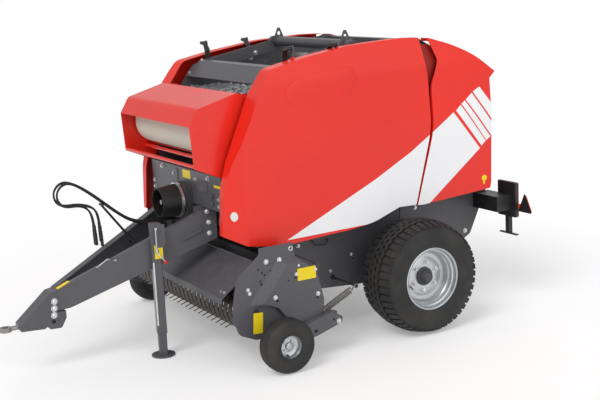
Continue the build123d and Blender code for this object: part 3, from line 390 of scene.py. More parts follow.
NODE_FINISH = (
    ("cover", ("front_cover_left", "front_cover_right", "rear_covers")),
    ("red", ("net_hood", "net_tray")),
    ("grey", ("side_plates", "tailgate_plates", "tailgate_wall", "front_frame", "drawbar_arms",
              "hitch", "cross_beam", "axle", "pickup_shields", "wind_guard", "lifting_bar",
              "jack_tube", "jack_leg", "gauge_arms", "top_rails")),
    ("painted_shade_grey", ("throat_roof", "feed_floor", "pickup_tube")),
    ("black", ("cover_hinges", "lamp_arms", "lamp_hangers", "strut_barrels", "strut_studs",
               "cylinder_barrels", "hose_holder")),
    ("zinc", ("rim_left", "rim_right", "gauge_rim_left", "gauge_rim_right", "jack_crank")),
    ("steel", ("front_rollers", "rear_rollers", "power_shaft", "towing_eye")),
    ("tine", ("tine_reel", "stripper_bands")),
    ("chrome", ("strut_rods", "cylinder_rods")),
    ("cast", ("gearbox",)),
    ("rubber", ("tyre_left", "tyre_right", "gauge_tyre_left", "gauge_tyre_right")),
    ("plastic", ("power_cone", "hose_plugs")),
    ("hose", ("hoses",)),
    ("net", ("net_roll",)),
    ("lens", ("lamps",)),
    ("orange", ("triangles",)),
)


# Mesh helpers


def mesh_of(name, bm):
    """A finished mesh from an edit mesh."""
    bmesh.ops.recalc_face_normals(bm, faces=bm.faces)
    mesh = bpy.data.meshes.new(name)
    bm.to_mesh(mesh)
    bm.free()
    return mesh


def settle(made, body, finish):
    """Links a fine piece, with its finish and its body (none where it bends)."""
    bpy.context.scene.collection.objects.link(made)
    made.data.materials.append(MATERIALS[finish])
    if body:
        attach(made, body)
    return made


def piece(name, bm, body, finish, bevel=0.0, smooth=35.0):
    """An edit mesh as a fine piece, its edges rounded by bevel millimetres."""
    mesh = mesh_of(name, bm)
    made = bpy.data.objects.new(name, mesh)
    if bevel:
        edges = made.modifiers.new("rounded edges", "BEVEL")
        edges.width = bevel / 1000
        edges.segments = 2
        edges.limit_method = "ANGLE"
        edges.angle_limit = radians(32)
    mesh.shade_smooth()
    mesh.set_sharp_from_angle(angle=radians(smooth))
    return settle(made, body, finish)


def skin(bm, one, two):
    """Faces between two closed rings of corners, or between a ring and its tip."""
    count = max(len(one), len(two))
    for k in range(count):
        after = (k + 1) % count
        if len(one) == 1:
            bm.faces.new((one[0], two[k], two[after]))
        elif len(two) == 1:
            bm.faces.new((one[k], one[after], two[0]))
        else:
            bm.faces.new((one[k], one[after], two[after], two[k]))


def add_rings(bm, rings, ends=True):
    """Faces between rings of points, with both ends closed or left open."""
    made = [[bm.verts.new(point) for point in ring] for ring in rings]
    for one, two in zip(made, made[1:]):
        skin(bm, one, two)
    if ends:
        bm.faces.new(list(reversed(made[0])))
        bm.faces.new(made[-1])
    return made


def circle(middle, side, other, radius, count):
    """Points round a circle, its radius in millimetres."""
    turns = [2 * pi * k / count for k in range(count)]
    return [middle + (side * cos(turn) + other * sin(turn)) * (radius / 1000) for turn in turns]


def add_lathe(bm, profile, centre, direction, segments=48):
    """A turned shape: (along, radius) in millimetres about a line through centre."""
    axis = Vector(direction).normalized()
    side = axis.orthogonal().normalized()
    other = axis.cross(side)
    rings = []
    for along, radius in profile:
        middle = centre + axis * (along / 1000)
        rings.append([middle] if radius <= 0 else circle(middle, side, other, radius, segments))
    add_rings(bm, rings, ends=False)


def add_prism(bm, corners, depth):
    """A plate: corner points of one face, and the vector to the other face."""
    add_rings(bm, [corners, [point + depth for point in corners]])


def rounded(corners, radius, steps=5):
    """Flat (a, b) corners with each corner rounded by an arc."""
    out = []
    count = len(corners)
    radii = radius if isinstance(radius, (list, tuple)) else [radius] * count
    for k in range(count):
        before, corner, after = (Vector(corners[(k + d) % count]) for d in (-1, 0, 1))
        first, second = (before - corner).normalized(), (after - corner).normalized()
        half = acos(max(-1.0, min(1.0, first.dot(second)))) / 2
        longest = 0.49 * min((before - corner).length, (after - corner).length)
        reach = min(radii[k] / tan(half), longest)
        radius_here = reach * tan(half)
        middle = corner + (first + second).normalized() * (radius_here / sin(half))
        start, end = corner + first * reach - middle, corner + second * reach - middle
        low = atan2(start.y, start.x)
        sweep = (atan2(end.y, end.x) - low + pi) % (2 * pi) - pi
        for step in range(steps + 1):
            angle = low + sweep * step / steps
            out.append((middle.x + radius_here * cos(angle), middle.y + radius_here * sin(angle)))
    return out


def add_tube(bm, points, radius, sides=8):
    """A round bar along points, in metres, its ends closed."""
    points = [Vector(point) for point in points]
    runs = [(b - a).normalized() for a, b in zip(points, points[1:])]
    across = runs[0].orthogonal().normalized()
    rings = []
    for k, point in enumerate(points):
        run = (runs[max(k - 1, 0)] + runs[min(k, len(runs) - 1)]).normalized()
        across = (across - run * across.dot(run)).normalized()
        other = run.cross(across)
        rings.append(circle(point, across, other, radius, sides))
    add_rings(bm, rings)


TREES = {}
RAY_BACK, RAY_REACH = 0.15, 0.4     # in metres


def on(node, x, y, z, aim):
    """Where a line through a nearby point, along aim, meets a piece; and its normal."""
    if node not in TREES:
        mesh = (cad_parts.get(node) or bpy.data.objects[node]).data
        TREES[node] = BVHTree.FromPolygons([vertex.co for vertex in mesh.vertices],
                                           [face.vertices for face in mesh.polygons])
    aim = Vector(aim).normalized()
    place, normal, _, _ = TREES[node].ray_cast(at(x, y, z) - aim * RAY_BACK, aim,
                                                RAY_REACH)
    if place is None:
        raise RuntimeError(f"no face of {node} near {(x, y, z)}")
    return place, normal if normal.dot(aim) < 0 else -normal


def face_ring(place, normal, corners, rise, up=(0, 0, 1)):
    """(across, up) corners in millimetres about a place on a face, as points above it."""
    across = Vector(up).cross(normal).normalized()
    upright = normal.cross(across)
    return [place + (across * a + upright * b + normal * rise) / 1000 for a, b in corners]


def flat_on(bm, place, normal, corners, thickness, lift=0.0, up=(0, 0, 1)):
    """A plate on a face."""
    add_prism(bm, face_ring(place, normal, corners, lift, up), normal * (thickness / 1000))


def rectangle(width, height, radius, turn=0.0, steps=3):
    """Corners of a rounded rectangle about its middle."""
    half, rise = width / 2, height / 2
    corners = rounded([(-half, -rise), (half, -rise), (half, rise), (-half, rise)], radius, steps)
    c, d = cos(turn), sin(turn)
    return [(a * c - b * d, a * d + b * c) for a, b in corners]


def centre_of(node):
    """The middle of one of the frame's own pieces."""
    low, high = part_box(node)
    return (low + high) / 2


def lathe_piece(name, profile, centre, direction, segments, body, finish, smooth=35.0):
    """One turned shape as a fine piece."""
    bm = bmesh.new()
    add_lathe(bm, profile, centre, direction, segments)
    return piece(name, bm, body, finish, smooth=smooth)


def side_plate(bm, corners, x):
    """A plate seen from the side, (y, z) corners, between two x."""
    add_prism(bm, [at(x[0], y, z) for y, z in corners], Vector(((x[1] - x[0]) / 1000, 0, 0)))


def hex_head(bm, centre, axis, width, height=None):
    """A bolt's head on a washer, its top slightly domed."""
    height = height or width * 0.55
    rest = width * 0.10
    add_lathe(bm, [(0, 0), (0, width * 0.78), (rest, width * 0.78), (rest, 0)], centre, axis,
              20)
    add_lathe(bm, [(rest, 0), (rest, width * 0.56), (rest + height * 0.85, width * 0.56),
                   (rest + height, width * 0.46), (rest + height, 0)], centre, axis, 6)


def round_bar(name, points, radius, body, finish, flowing=False):
    """A bent bar through points, or a hose that flows along them, as a bevelled curve."""
    curve = bpy.data.curves.new(name, "CURVE")
    curve.dimensions = "3D"
    curve.bevel_depth = radius / 1000
    curve.bevel_resolution = 4
    curve.use_fill_caps = True
    spline = curve.splines.new("NURBS" if flowing else "POLY")
    spline.points.add(len(points) - 1)
    for point, place in zip(spline.points, points):
        point.co = (*place, 1)
    if flowing:
        spline.order_u = 3
        spline.use_endpoint_u = True
        spline.resolution_u = 8
    return settle(bpy.data.objects.new(name, curve), body, finish)


# Stage

CAMERA_TURN = (60.0, 11.3, -2.9)        # azimuth, elevation and roll, in degrees
CAMERA_PLACE = (7.7821, -3.9756, 2.7108)
FLOOR_GLOW = 0.27
SKY_LIGHT = 0.50
# name, direction of the light, spread in degrees, strength
SUNS = (("key", (-0.30, 0.62, -0.72), 30, 1.25),
        ("side", (-0.85, -0.12, -0.42), 60, 0.75),
        ("rim", (0.6, -0.5, -0.6), 50, 0.35))


class BALER_OT_stage(bpy.types.Operator):
    """Floor, backdrop, lights and the photograph's camera."""

    bl_idname = "baler.stage"
    bl_label = "Stage"

    def execute(self, context):
        scene = context.scene
        scene.view_settings.view_transform = "Standard"
        azimuth, elevation, roll = (radians(turn) for turn in CAMERA_TURN)
        back = Vector((sin(azimuth) * cos(elevation), -cos(azimuth) * cos(elevation),
                       sin(elevation)))
        right = Vector((cos(azimuth), sin(azimuth), 0))
        up = back.cross(right)
        tilted = right * cos(roll) + up * sin(roll)
        upright = up * cos(roll) - right * sin(roll)
        data = bpy.data.cameras.new("camera")
        data.sensor_width = 36
        data.lens = sizes().camera_lens * 1000
        data.clip_end = 200
        camera = bpy.data.objects.new("camera", data)
        camera.matrix_world = Matrix.LocRotScale(
            Vector(CAMERA_PLACE), Matrix((tilted, upright, back)).transposed(), None)
        scene.collection.objects.link(camera)
        scene.camera = camera
        self.floor()
        self.world(scene)
        self.lights(scene)
        return {"FINISHED"}

    def floor(self):
        """A pale floor that the camera sees near white, but for the machine's shadow."""
        bm = bmesh.new()
        bmesh.ops.create_grid(bm, x_segments=1, y_segments=1, size=60)
        ground = bpy.data.objects.new("floor", mesh_of("floor", bm))
        ground.location.z = -0.001
        bpy.context.scene.collection.objects.link(ground)
        s = Shader("pale_floor")
        speck = s.noise(3, 4)
        seen = [s.node("ShaderNodeLightPath", None, None, out=ray)
                for ray in ("Is Camera Ray", "Is Glossy Ray")]
        s.finish(s.mix(speck, (0.76, 0.76, 0.76), (0.79, 0.79, 0.79)), 0.9,
                 Emission_Color=s.mix(seen[0] | seen[1], (0, 0, 0), (1, 1, 1)),
                 Emission_Strength=FLOOR_GLOW)
        ground.data.materials.append(s.material)

    def world(self, scene):
        """An even soft sky, white where the camera or a gloss looks at it."""
        world = bpy.data.worlds.new("soft_sky")
        scene.world = world
        world.use_nodes = True
        tree = world.node_tree
        tree.nodes.clear()
        path, pick, end = (tree.nodes.new("ShaderNode" + kind)
                           for kind in ("LightPath", "MixShader", "OutputWorld"))
        tree.links.new(path.outputs["Is Camera Ray"], pick.inputs[0])
        for place, strength in ((1, SKY_LIGHT), (2, 1.0)):
            sky = tree.nodes.new("ShaderNodeBackground")
            sky.inputs["Color"].default_value = (1, 1, 1, 1)
            sky.inputs["Strength"].default_value = strength
            tree.links.new(sky.outputs[0], pick.inputs[place])
        tree.links.new(pick.outputs[0], end.inputs["Surface"])

    def lights(self, scene):
        """The suns: a broad key from the front left, a weaker one from the side, and a rim."""
        for name, aim, spread, strength in SUNS:
            data = bpy.data.lights.new(name, "SUN")
            data.angle = radians(spread)
            data.energy = strength
            lamp = bpy.data.objects.new(name, data)
            lamp.rotation_mode = "QUATERNION"
            lamp.rotation_quaternion = Vector(aim).to_track_quat("-Z", "Y")
            scene.collection.objects.link(lamp)


# Hoses

HOSE_ROUTE = [
    (-1428, 905), (-1540, 905), (-1680, 899), (-1810, 932), (-1920, 1010), (-2040, 1118),
    (-2166, 1224), (-2275, 1286), (-2340, 1272), (-2379, 1218), (-2372, 1152), (-2322, 1109),
    (-2200, 1110), (-2125, 1068), (-2100, 985), (-2097, 908)]
LOOP = range(7, 12)
TAIL = range(13, 16)
# x, rise of the whole line, reach of the loop and of the tail, rise of the end
HOSES = ((-181, 0, 0, 0, 0), (-160, 9, -6, 36, 14), (-139, -4, 9, -6, 10), (-118, 6, 4, 30, -8))


class BALER_OT_hoses(bpy.types.Operator):
    """Four hydraulic hoses in one bundle, each with its coupling."""

    bl_idname = "baler.hoses"
    bl_label = "Hoses"

    def execute(self, context):
        for number, (x, rise, loop, tail, drop) in enumerate(HOSES, 1):
            points = []
            for index, (y, z) in enumerate(HOSE_ROUTE):
                y += loop if index in LOOP else 0
                y += tail if index in TAIL else 0
                z += drop if index == len(HOSE_ROUTE) - 1 else 0
                points.append(at(x, y, z + rise))
            hose = round_bar(f"hose_{number}", points, sizes().hose_bore * 500, "chassis",
                             "hose", flowing=True)
            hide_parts("hoses")
            coupling = self.coupling(number, points[-1], points[-1] - points[-2])
            self.line(hose)
        return {"FINISHED"}

    def line(self, hose):
        """The length of a hose's own smooth line."""
        data = hose.data.copy()
        data.bevel_depth = 0
        bare = bpy.data.objects.new("bare_line", data)
        bpy.context.scene.collection.objects.link(bare)
        mesh = bpy.data.meshes.new_from_object(
            bare.evaluated_get(bpy.context.evaluated_depsgraph_get()))
        points = [v.co.copy() for v in mesh.vertices]
        total = sum((b - a).length for a, b in zip(points, points[1:]))
        bpy.data.objects.remove(bare)
        bpy.data.meshes.remove(mesh)
        return total

    def coupling(self, number, start, run):
        """A quick coupling under its dust cap: crimped sleeve, hexagon and ribbed cap."""
        bm = bmesh.new()
        add_lathe(bm, [(-34, 7.4), (-32, 9.6), (-2, 9.6), (0, 8.6), (4, 8.6)], start, run, 24)
        add_lathe(bm, [(4, 0), (4, 12.2), (20, 12.2), (20, 0)], start, run, 6)
        cap = [(20, 0), (20, 10.5), (30, 10.5), (31, 12.2)]
        for rib in range(6):
            cap += [(36 + rib * 11, 12.3), (38 + rib * 11, 11.2), (42 + rib * 11, 11.2),
                    (44 + rib * 11, 12.3)]
        cap += [(108, 12.3), (116, 10.4), (119, 7.0), (119.5, 0)]
        add_lathe(bm, cap, start, run, 28)
        made = piece(f"hose_coupling_{number}", bm, "chassis", "plastic")
        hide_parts("hose_plugs")
        return made


# Finishes of the frame's own pieces

class BALER_OT_finishes(bpy.types.Operator):
    """Materials of the frame's own pieces."""

    bl_idname = "baler.finishes"
    bl_label = "Finishes"

    def execute(self, context):
        make_materials()
        given = set()
        for finish, names in NODE_FINISH:
            for name in names:
                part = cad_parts[name]
                part.data.materials.clear()
                part.data.materials.append(MATERIALS[finish])
                given.add(name)
        left = set(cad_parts) - given
        if left:
            raise RuntimeError(f"no finish for {sorted(left)}")
        return {"FINISHED"}


# Tyres

class Carcass:
    """A tyre's outer line from the crown to the bead, by the distance along it."""

    def __init__(self, corners):
        self.corners = corners
        self.reach = [0.0]
        for (ax, ar), (bx, br) in zip(corners, corners[1:]):
            self.reach.append(self.reach[-1] + hypot(bx - ax, br - ar))

    def point(self, along, lift=0.0):
        """(x, radius) at a distance from the crown, raised off the surface."""
        side = -1 if along < 0 else 1
        along = min(abs(along), self.reach[-1] - 0.01)
        for k in range(len(self.corners) - 1):
            if along <= self.reach[k + 1]:
                break
        share = (along - self.reach[k]) / (self.reach[k + 1] - self.reach[k])
        (ax, ar), (bx, br) = self.corners[k], self.corners[k + 1]
        run = hypot(bx - ax, br - ar)
        nx, nr = -(br - ar) / run, (bx - ax) / run
        return side * (ax + (bx - ax) * share + nx * lift), ar + (br - ar) * share + nr * lift


def add_tread_block(bm, carcass, centre, corners, foot, top, taper):
    """One tread block: (angle, along) corners on the carcass, drawn in towards its top."""
    mid_a = sum(a for a, _ in corners) / len(corners)
    mid_s = sum(s for _, s in corners) / len(corners)

    def place(angle, along, lift):
        """A point of the carcass, turned round the tyre's middle."""
        x, r = carcass.point(along, lift)
        return centre + Vector((x, r * cos(angle), r * sin(angle))) / 1000

    low = [bm.verts.new(place(a, s, foot)) for a, s in corners]
    high = [bm.verts.new(place(mid_a + (a - mid_a) * taper, mid_s + (s - mid_s) * taper, top))
            for a, s in corners]
    skin(bm, low, high)
    bm.faces.new(high)


class BALER_OT_main_tyres(bpy.types.Operator):
    """Main tyres: zigzag ribs round the middle, lugs over the shoulders, ringed walls."""

    bl_idname = "baler.main_tyres"
    bl_label = "Main tyres"

    CARCASS = Carcass([(0, 406), (60, 405.5), (110, 403), (148, 396), (166, 384), (177, 362),
                       (183, 335), (187, 310), (184, 284), (176, 258), (166.5, 238)])
    BEAD = (165, 216.4)
    # raised rings on the walls: shares of the way from the crown to the bead, and their rise
    RINGS = ((0.70, 0.76), (0.86, 0.90))
    RING_RISE = 0.9
    PITCHES = 46
    # the inner and outer edge of each zigzag rib, and which way it starts
    RIBS = ((-14, 14, 1), (29, 62, -1), (-62, -29, -1))
    SWAY = 8.0
    SIDE_RIB_DROP, LUG_DROP = 1.5, 5        # below the middle rib's top
    RIB_FOOT, LUG_FOOT = -2, -3             # in the tyre's body
    LUG_ROOT, LUG_POINT, LUG_END = 82, 74, 168
    LUG_GAP = 0.13                          # share of a pitch

    def execute(self, context):
        for _, side in SIDES:
            centre = centre_of(f"tyre_{side}")
            bm = bmesh.new()
            self.body(bm, centre)
            self.tread(bm, centre)
            made = piece(f"main_tyre_{side}", bm, f"wheel_{side}", "rubber", smooth=28)
            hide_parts(f"tyre_{side}")
        return {"FINISHED"}

    def body(self, bm, centre):
        """The turned body with two raised rings on its walls."""
        half = []
        steps = 26
        for share in (k / steps for k in range(steps + 1)):
            ringed = any(low < share < high for low, high in self.RINGS)
            half.append(self.CARCASS.point(self.CARCASS.reach[-1] * share,
                                           self.RING_RISE if ringed else 0.0))
        half.append(self.BEAD)
        add_lathe(bm, [(-x, r) for x, r in reversed(half[1:])] + half, centre, (1, 0, 0), 144)

    def tread(self, bm, centre):
        """Ribs and lugs, pitch by pitch."""
        pitch = 2 * pi / self.PITCHES
        top = sizes().lug_height * 1000
        gap = self.LUG_GAP * pitch
        for k in range(self.PITCHES):
            a0, a1, a2 = k * pitch, (k + 0.5) * pitch, (k + 1) * pitch
            for low, high, phase in self.RIBS:
                sway = self.SWAY * phase
                drop = 0 if low + high == 0 else self.SIDE_RIB_DROP
                add_tread_block(bm, self.CARCASS, centre,
                                [(a0, low - sway), (a1, low + sway), (a2, low - sway),
                                 (a2, high - sway), (a1, high + sway), (a0, high - sway)],
                                self.RIB_FOOT, top - drop, 1.0)
            for out in (-1, 1):
                add_tread_block(bm, self.CARCASS, centre,
                                [(a0 + gap, out * self.LUG_ROOT), (a1, out * self.LUG_POINT),
                                 (a2 - gap, out * self.LUG_ROOT), (a2 - gap, out * self.LUG_END),
                                 (a0 + gap, out * self.LUG_END)],
                                self.LUG_FOOT, top - self.LUG_DROP, 0.95)


class BALER_OT_gauge_tyres(bpy.types.Operator):
    """Small gauge tyres with plain ribs and grooves."""

    bl_idname = "baler.gauge_tyres"
    bl_label = "Gauge tyres"

    # from the crown to the bead
    HALF = [(0, 192), (13, 192), (15, 187), (20, 187), (22, 191.5), (38, 190), (40, 185),
            (45, 184.5), (47, 188.5), (58, 184), (66, 176), (71, 165), (74, 150), (75, 134),
            (73, 118), (69, 106), (64, 97), (59.3, 93), (59, 78.3)]

    def execute(self, context):
        line = [(-x, r) for x, r in reversed(self.HALF[1:])] + self.HALF
        for _, side in SIDES:
            node = f"gauge_tyre_{side}"
            made = lathe_piece(f"gauge_tyre_ribbed_{side}", line, centre_of(node), (1, 0, 0), 96,
                               f"gauge_wheel_{side}", "rubber", 30)
            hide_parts(node)
        return {"FINISHED"}


# Large forms

# (y, z) corners of a raised shield part: its foot on the shield, then its face
SHIELD_FOOT = [(-1450, 448), (-1205, 735), (-1060, 745), (-908, 655), (-856, 418), (-862, 318),
               (-992, 266), (-1130, 262), (-1190, 350), (-1235, 415), (-1330, 440)]
SHIELD_FACE = [(-1345, 455), (-1150, 706), (-1040, 716), (-914, 640), (-862, 415), (-868, 318),
               (-992, 266), (-1130, 290), (-1186, 352), (-1228, 408), (-1290, 440)]
SHIELD_RADII = [12, 40, 40, 60, 60, 25, 30, 30, 20, 20, 60]
ARM_SIDE = [(-1312, 166), (-1306, 228), (-1026, 270), (-901, 301), (-828, 318), (-747, 272),
            (-755, 229), (-859, 197), (-967, 167), (-1150, 156)]
ARM_RADII = [25, 25, 10, 10, 20, 12, 12, 10, 10, 10]
# the gap between front and rear covers, dark with painted shade: z, the front cover's edge, the
# rear cover's edge
RECESS = ((2108, 226, 316), (2075, 228, 326), (1990, 234, 350), (1900, 240, 312),
          (1800, 243, 270), (1640, 240, 264), (1472, 236, 260), (1300, 187, 208),
          (1100, 131, 150), (930, 82, 100))
RECESS_LAP = 18
RECESS_DEPTHS = (44, 46)        # of the strip's two faces behind the rear cover's skin
REAR_SIDE_TOP = 2130            # above this the rear covers' sides turn inwards
COVER_SIDE = 800                # about where the covers' sides are, for a ray to start from
PANEL = [(-990, 1822), (-965, 1903), (-876, 1964), (-640, 1991), (-433, 2009), (-403, 1992),
         (-384, 1905), (-508, 1718), (-718, 1711), (-877, 1755)]
PANEL_FADE = (1725, 1845)       # the panel's rise goes from nothing to full between these z
# share of the panel's outline and rise of each ring, from its edge to its middle
PANEL_RINGS = ((1.0, -1.0), (0.988, 4.5), (0.96, 5.5), (0.8, 5.5), (0.6, 5.5), (0.4, 5.5),
               (0.2, 5.5), (0.0, 5.5))
FILM_X, FILM_Y, FILM_Z = (-560, 560), (-1075, -745), 1838


class BALER_OT_large_forms(bpy.types.Operator):
    """Raised shield parts, boxed arms, guard sheet, beam, recesses, pressed panels, film."""

    bl_idname = "baler.large_forms"
    bl_label = "Large forms"

    def execute(self, context):
        self.shields()
        self.beams()
        self.recesses()
        self.panels()
        self.film()
        return {"FINISHED"}

    def shields(self):
        """Raised shield parts, boxed gauge arms, and the sheet behind the wind guard, dark with
        painted shade.
        """
        bm = bmesh.new()
        foot = rounded(SHIELD_FOOT, SHIELD_RADII)
        face = rounded(SHIELD_FACE, SHIELD_RADII)
        for side in (1, -1):
            add_rings(bm, [[at(side * x, y, z) for y, z in line]
                           for x, line in ((958, foot), (961, foot), (1001, face))])
        piece("raised_shields", bm, "pickup", "grey", bevel=4)
        bm = bmesh.new()
        for side in (1, -1):
            side_plate(bm, rounded(ARM_SIDE, ARM_RADII), (side * 973, side * 1058))
        piece("boxed_arms", bm, "pickup", "grey", bevel=4)
        bm = bmesh.new()
        side_plate(bm, [(-1204, 640), (-1222, 742), (-1218, 743), (-1200, 640)], (-952, 952))
        piece("guard_sheet", bm, "pickup", "painted_shade_grey")

    def beams(self):
        """The tailgate's channel beam."""
        bm = bmesh.new()
        side_plate(bm, [(262, 2050), (330, 2050), (330, 2056), (268, 2056), (268, 2134),
                        (330, 2134), (330, 2140), (262, 2140)], (-604, 604))
        piece("tailgate_beam", bm, "tailgate", "grey", bevel=2)

    def recesses(self):
        """A red strip behind the gap between the front and rear covers, darkened as painted shade.
        """
        bm = bmesh.new()
        for side in (1, -1):
            rows = []
            for z, front, rear in RECESS:
                edge, _ = on("rear_covers", side * COVER_SIDE, rear + 20, min(z, REAR_SIDE_TOP),
                             (-side, 0, 0))
                front, rear = front - RECESS_LAP, rear + RECESS_LAP
                outer, inner = (edge.x * 1000 - side * depth for depth in RECESS_DEPTHS)
                rows.append([at(x, y, z) for x, y in ((outer, front), (outer, rear),
                                                      (inner, rear), (inner, front))])
            add_rings(bm, rows)
        piece("cover_recesses", bm, "tailgate", "recess_shade")

    def panels(self):
        """The pressed panel in each front cover's top, fading towards its bottom."""
        outline = rounded(PANEL, 45, 6)
        middle_y = sum(y for y, _ in outline) / len(outline)
        middle_z = sum(z for _, z in outline) / len(outline)
        low, high = PANEL_FADE
        for side, name in SIDES:
            rings = []
            for share, rise in PANEL_RINGS:
                ring = []
                for y, z in outline if share else outline[:1]:
                    y, z = middle_y + (y - middle_y) * share, middle_z + (z - middle_z) * share
                    place, normal = on("front_cover_" + name, side * COVER_SIDE, y, z,
                                       (-side, 0, 0))
                    fade = min(1.0, max(0.0, (z - low) / (high - low)))
                    height = rise * fade - 1.2 * (1 - fade) if rise > 0 else rise
                    ring.append(place + normal * (height / 1000))
                rings.append(ring)
            bm = bmesh.new()
            add_rings(bm, rings, ends=False)
            piece(f"cover_panel_{name}", bm, f"cover_{name}", "cover", smooth=50)

    def film(self):
        """Crumpled silvery film under the top beam, between the net box and the chamber."""
        across, along = 60, 14
        rows = []
        for j in range(along + 1):
            row = []
            for i in range(across + 1):
                x = FILM_X[0] + (FILM_X[1] - FILM_X[0]) * i / across
                y = FILM_Y[0] + (FILM_Y[1] - FILM_Y[0]) * j / along
                crumple = (sin(x * 0.053 + y * 0.031) * 7 + sin(x * 0.091 - y * 0.077) * 6
                           + sin(x * 0.153 + y * 0.29) * 5)
                row.append(at(x, y, FILM_Z + crumple))
            rows.append(row + [point - Vector((0, 0, 0.0012)) for point in reversed(row)])
        bm = bmesh.new()
        add_rings(bm, rows)
        piece("silver_film", bm, "chassis", "film", smooth=25)


# Fasteners and plates

OUT = (-1, 0, 0)        # the way from outside the left side towards the machine
REAR = (0, 1, 0)
DOWN = (0, 0, -1)
IN_TOP = (1, 0, 0)      # from between the top rails towards the left one
SLOPE = (0, 0.7, -0.7)
# node, body, aim, then x, y, z and head width of each bolt, which is on both sides
BOLTS = (
    ("pickup_shields", "pickup", OUT, (
        (961, -1291, 745, 24), (961, -1187, 742, 24), (961, -1443, 571, 18),
        (961, -1432, 543, 18))),
    ("raised_shields", "pickup", OUT, (
        (1001, -1056, 687, 13), (1001, -1079, 628, 18), (1001, -922, 636, 16),
        (1001, -911, 457, 22), (1001, -1254, 491, 22))),
    ("boxed_arms", "pickup", OUT, ((1058, -783, 244, 24),)),
    ("side_plates", "chassis", OUT, (
        (611, -830, 717, 18), (611, -365, 574, 22), (611, -560, 480, 18))),
    ("tailgate_plates", "tailgate", OUT, (
        (611, 714, 590, 24), (611, 815, 905, 22), (611, 230, 850, 22))),
    ("drawbar_arms", "chassis", OUT, (
        (335, -1416, 1022, 24), (337, -1409, 942, 24), (337, -1409, 861, 24))),
    ("hitch", "chassis", OUT, (
        (62, -2520, 493, 30), (62, -2525, 443, 30), (62, -2530, 394, 30))),
    ("top_rails", "chassis", IN_TOP, ((520, -486, 2062, 26),)),
    ("side_plates", "chassis", IN_TOP, ((600, -486, 2018, 26),)),
    ("cross_beam", "chassis", DOWN, ((574, -940, 2034, 20),)),
    ("cross_beam", "chassis", SLOPE, ((574, -1057, 1947, 20),)),
    ("front_frame", "chassis", REAR, (
        (400, -1420, 1270, 26), (560, -1420, 1140, 22), (560, -1420, 1090, 22),
        (190, -1420, 1240, 20))),
    ("wind_guard", "pickup", DOWN, ((869, -1578, 557, 16), (820, -1578, 557, 12))),
)
# node, body, x, y, z, aim, width, height, turn, finish
PLATES = (
    ("raised_shields", "pickup", 1001, -995, 620, OUT, 148, 88, 0, "plate"),
    ("pickup_shields", "pickup", 961, -1379, 322, OUT, 74, 148, -4, "plate"),
    ("front_frame", "chassis", 31, -1420, 1258, REAR, 132, 60, 0, "plate"),
    ("front_frame", "chassis", 545, -1420, 1228, REAR, 120, 20, 0, "plate"),
    ("jack_tube", "chassis", 312, -1803, 782, OUT, 60, 106, 0, "plate"),
    ("drawbar_arms", "chassis", 38, -2440, 600, DOWN, 62, 100, 0, "plate"),
)
# dark plugs, and near-black discs as painted shade in open holes: node, body, x, then y, z and
# radius of each, on both sides
PLUGS = (
    ("pickup_shields", "pickup", 961, (
        (-1355, 699, 7), (-1327, 672, 7), (-1308, 653, 8), (-1262, 678, 7), (-1344, 614, 7),
        (-1336, 592, 9))),
    ("raised_shields", "pickup", 1001, (
        (-1142, 593, 6), (-1086, 606, 9), (-917, 432, 10), (-1240, 466, 10))),
    ("boxed_arms", "pickup", 1058, ((-975, 206, 13), (-822, 262, 9))),
    ("hitch", "chassis", 62, ((-2536, 348, 15),)),
    ("side_plates", "chassis", 611, ((-362, 548, 6),)),
)


class BALER_OT_fasteners(bpy.types.Operator):
    """Bolt heads on their washers, one mesh for each body."""

    bl_idname = "baler.fasteners"
    bl_label = "Fasteners"

    def execute(self, context):
        meshes = {}
        for node, body, aim, bolts in BOLTS:
            bm = meshes.setdefault(body, bmesh.new())
            for (x, y, z, width), side in product(bolts, (1, -1)):
                place, normal = on(node, side * x, y, z, (side * aim[0], *aim[1:]))
                hex_head(bm, place, normal, width)
        for body, bm in meshes.items():
            piece(f"bolts_{body}", bm, body, "bright")
        return {"FINISHED"}


class BALER_OT_plates(bpy.types.Operator):
    """Blank plates, dark plugs in the shields' holes with painted shade in the open ones, and the
    oval reflectors.
    """

    bl_idname = "baler.plates"
    bl_label = "Plates"

    def execute(self, context):
        for number, row in enumerate(PLATES, 1):
            node, body, x, y, z, aim, width, height, turn, finish = row
            bm = bmesh.new()
            up = (0, 0, 1) if aim is not DOWN else (0, 1, 0)
            place, normal = on(node, x, y, z, aim)
            flat_on(bm, place, normal, rectangle(width, height, 5, radians(turn)), 1.0, 0.1, up)
            piece(f"blank_plate_{number}", bm, body, finish)
        meshes = {}
        # near-black discs: real plugs, and painted shade in the open holes
        for node, body, x, plugs in PLUGS:
            bm = meshes.setdefault(body, bmesh.new())
            for (y, z, radius), side in product(plugs, (1, -1)):
                place, normal = on(node, side * x, y, z, (-side, 0, 0))
                add_lathe(bm, [(0, 0), (0, radius), (0.5, radius), (0.9, radius - 1), (0.5, 0)],
                          place, normal, 20)
        for body, bm in meshes.items():
            piece(f"hole_plugs_{body}", bm, body, "plug_and_hole_shade")
        for side, name in SIDES:
            place, normal = on("front_cover_" + name, side * 753, -1407, 1046,
                               (-side * 0.79, 0.61, 0))
            bm = bmesh.new()
            add_lathe(bm, [(0, 0), (0, 27), (3, 27), (4, 24), (4, 22), (6.5, 17), (7.5, 9),
                           (7.8, 0)], place, normal, 36)
            for vertex in bm.verts:
                vertex.co.z = place.z + (vertex.co.z - place.z) * 1.25
            piece(f"reflector_{name}", bm, f"cover_{name}", "white_lens")
        return {"FINISHED"}


# Rims

VALVE_TURN = 206
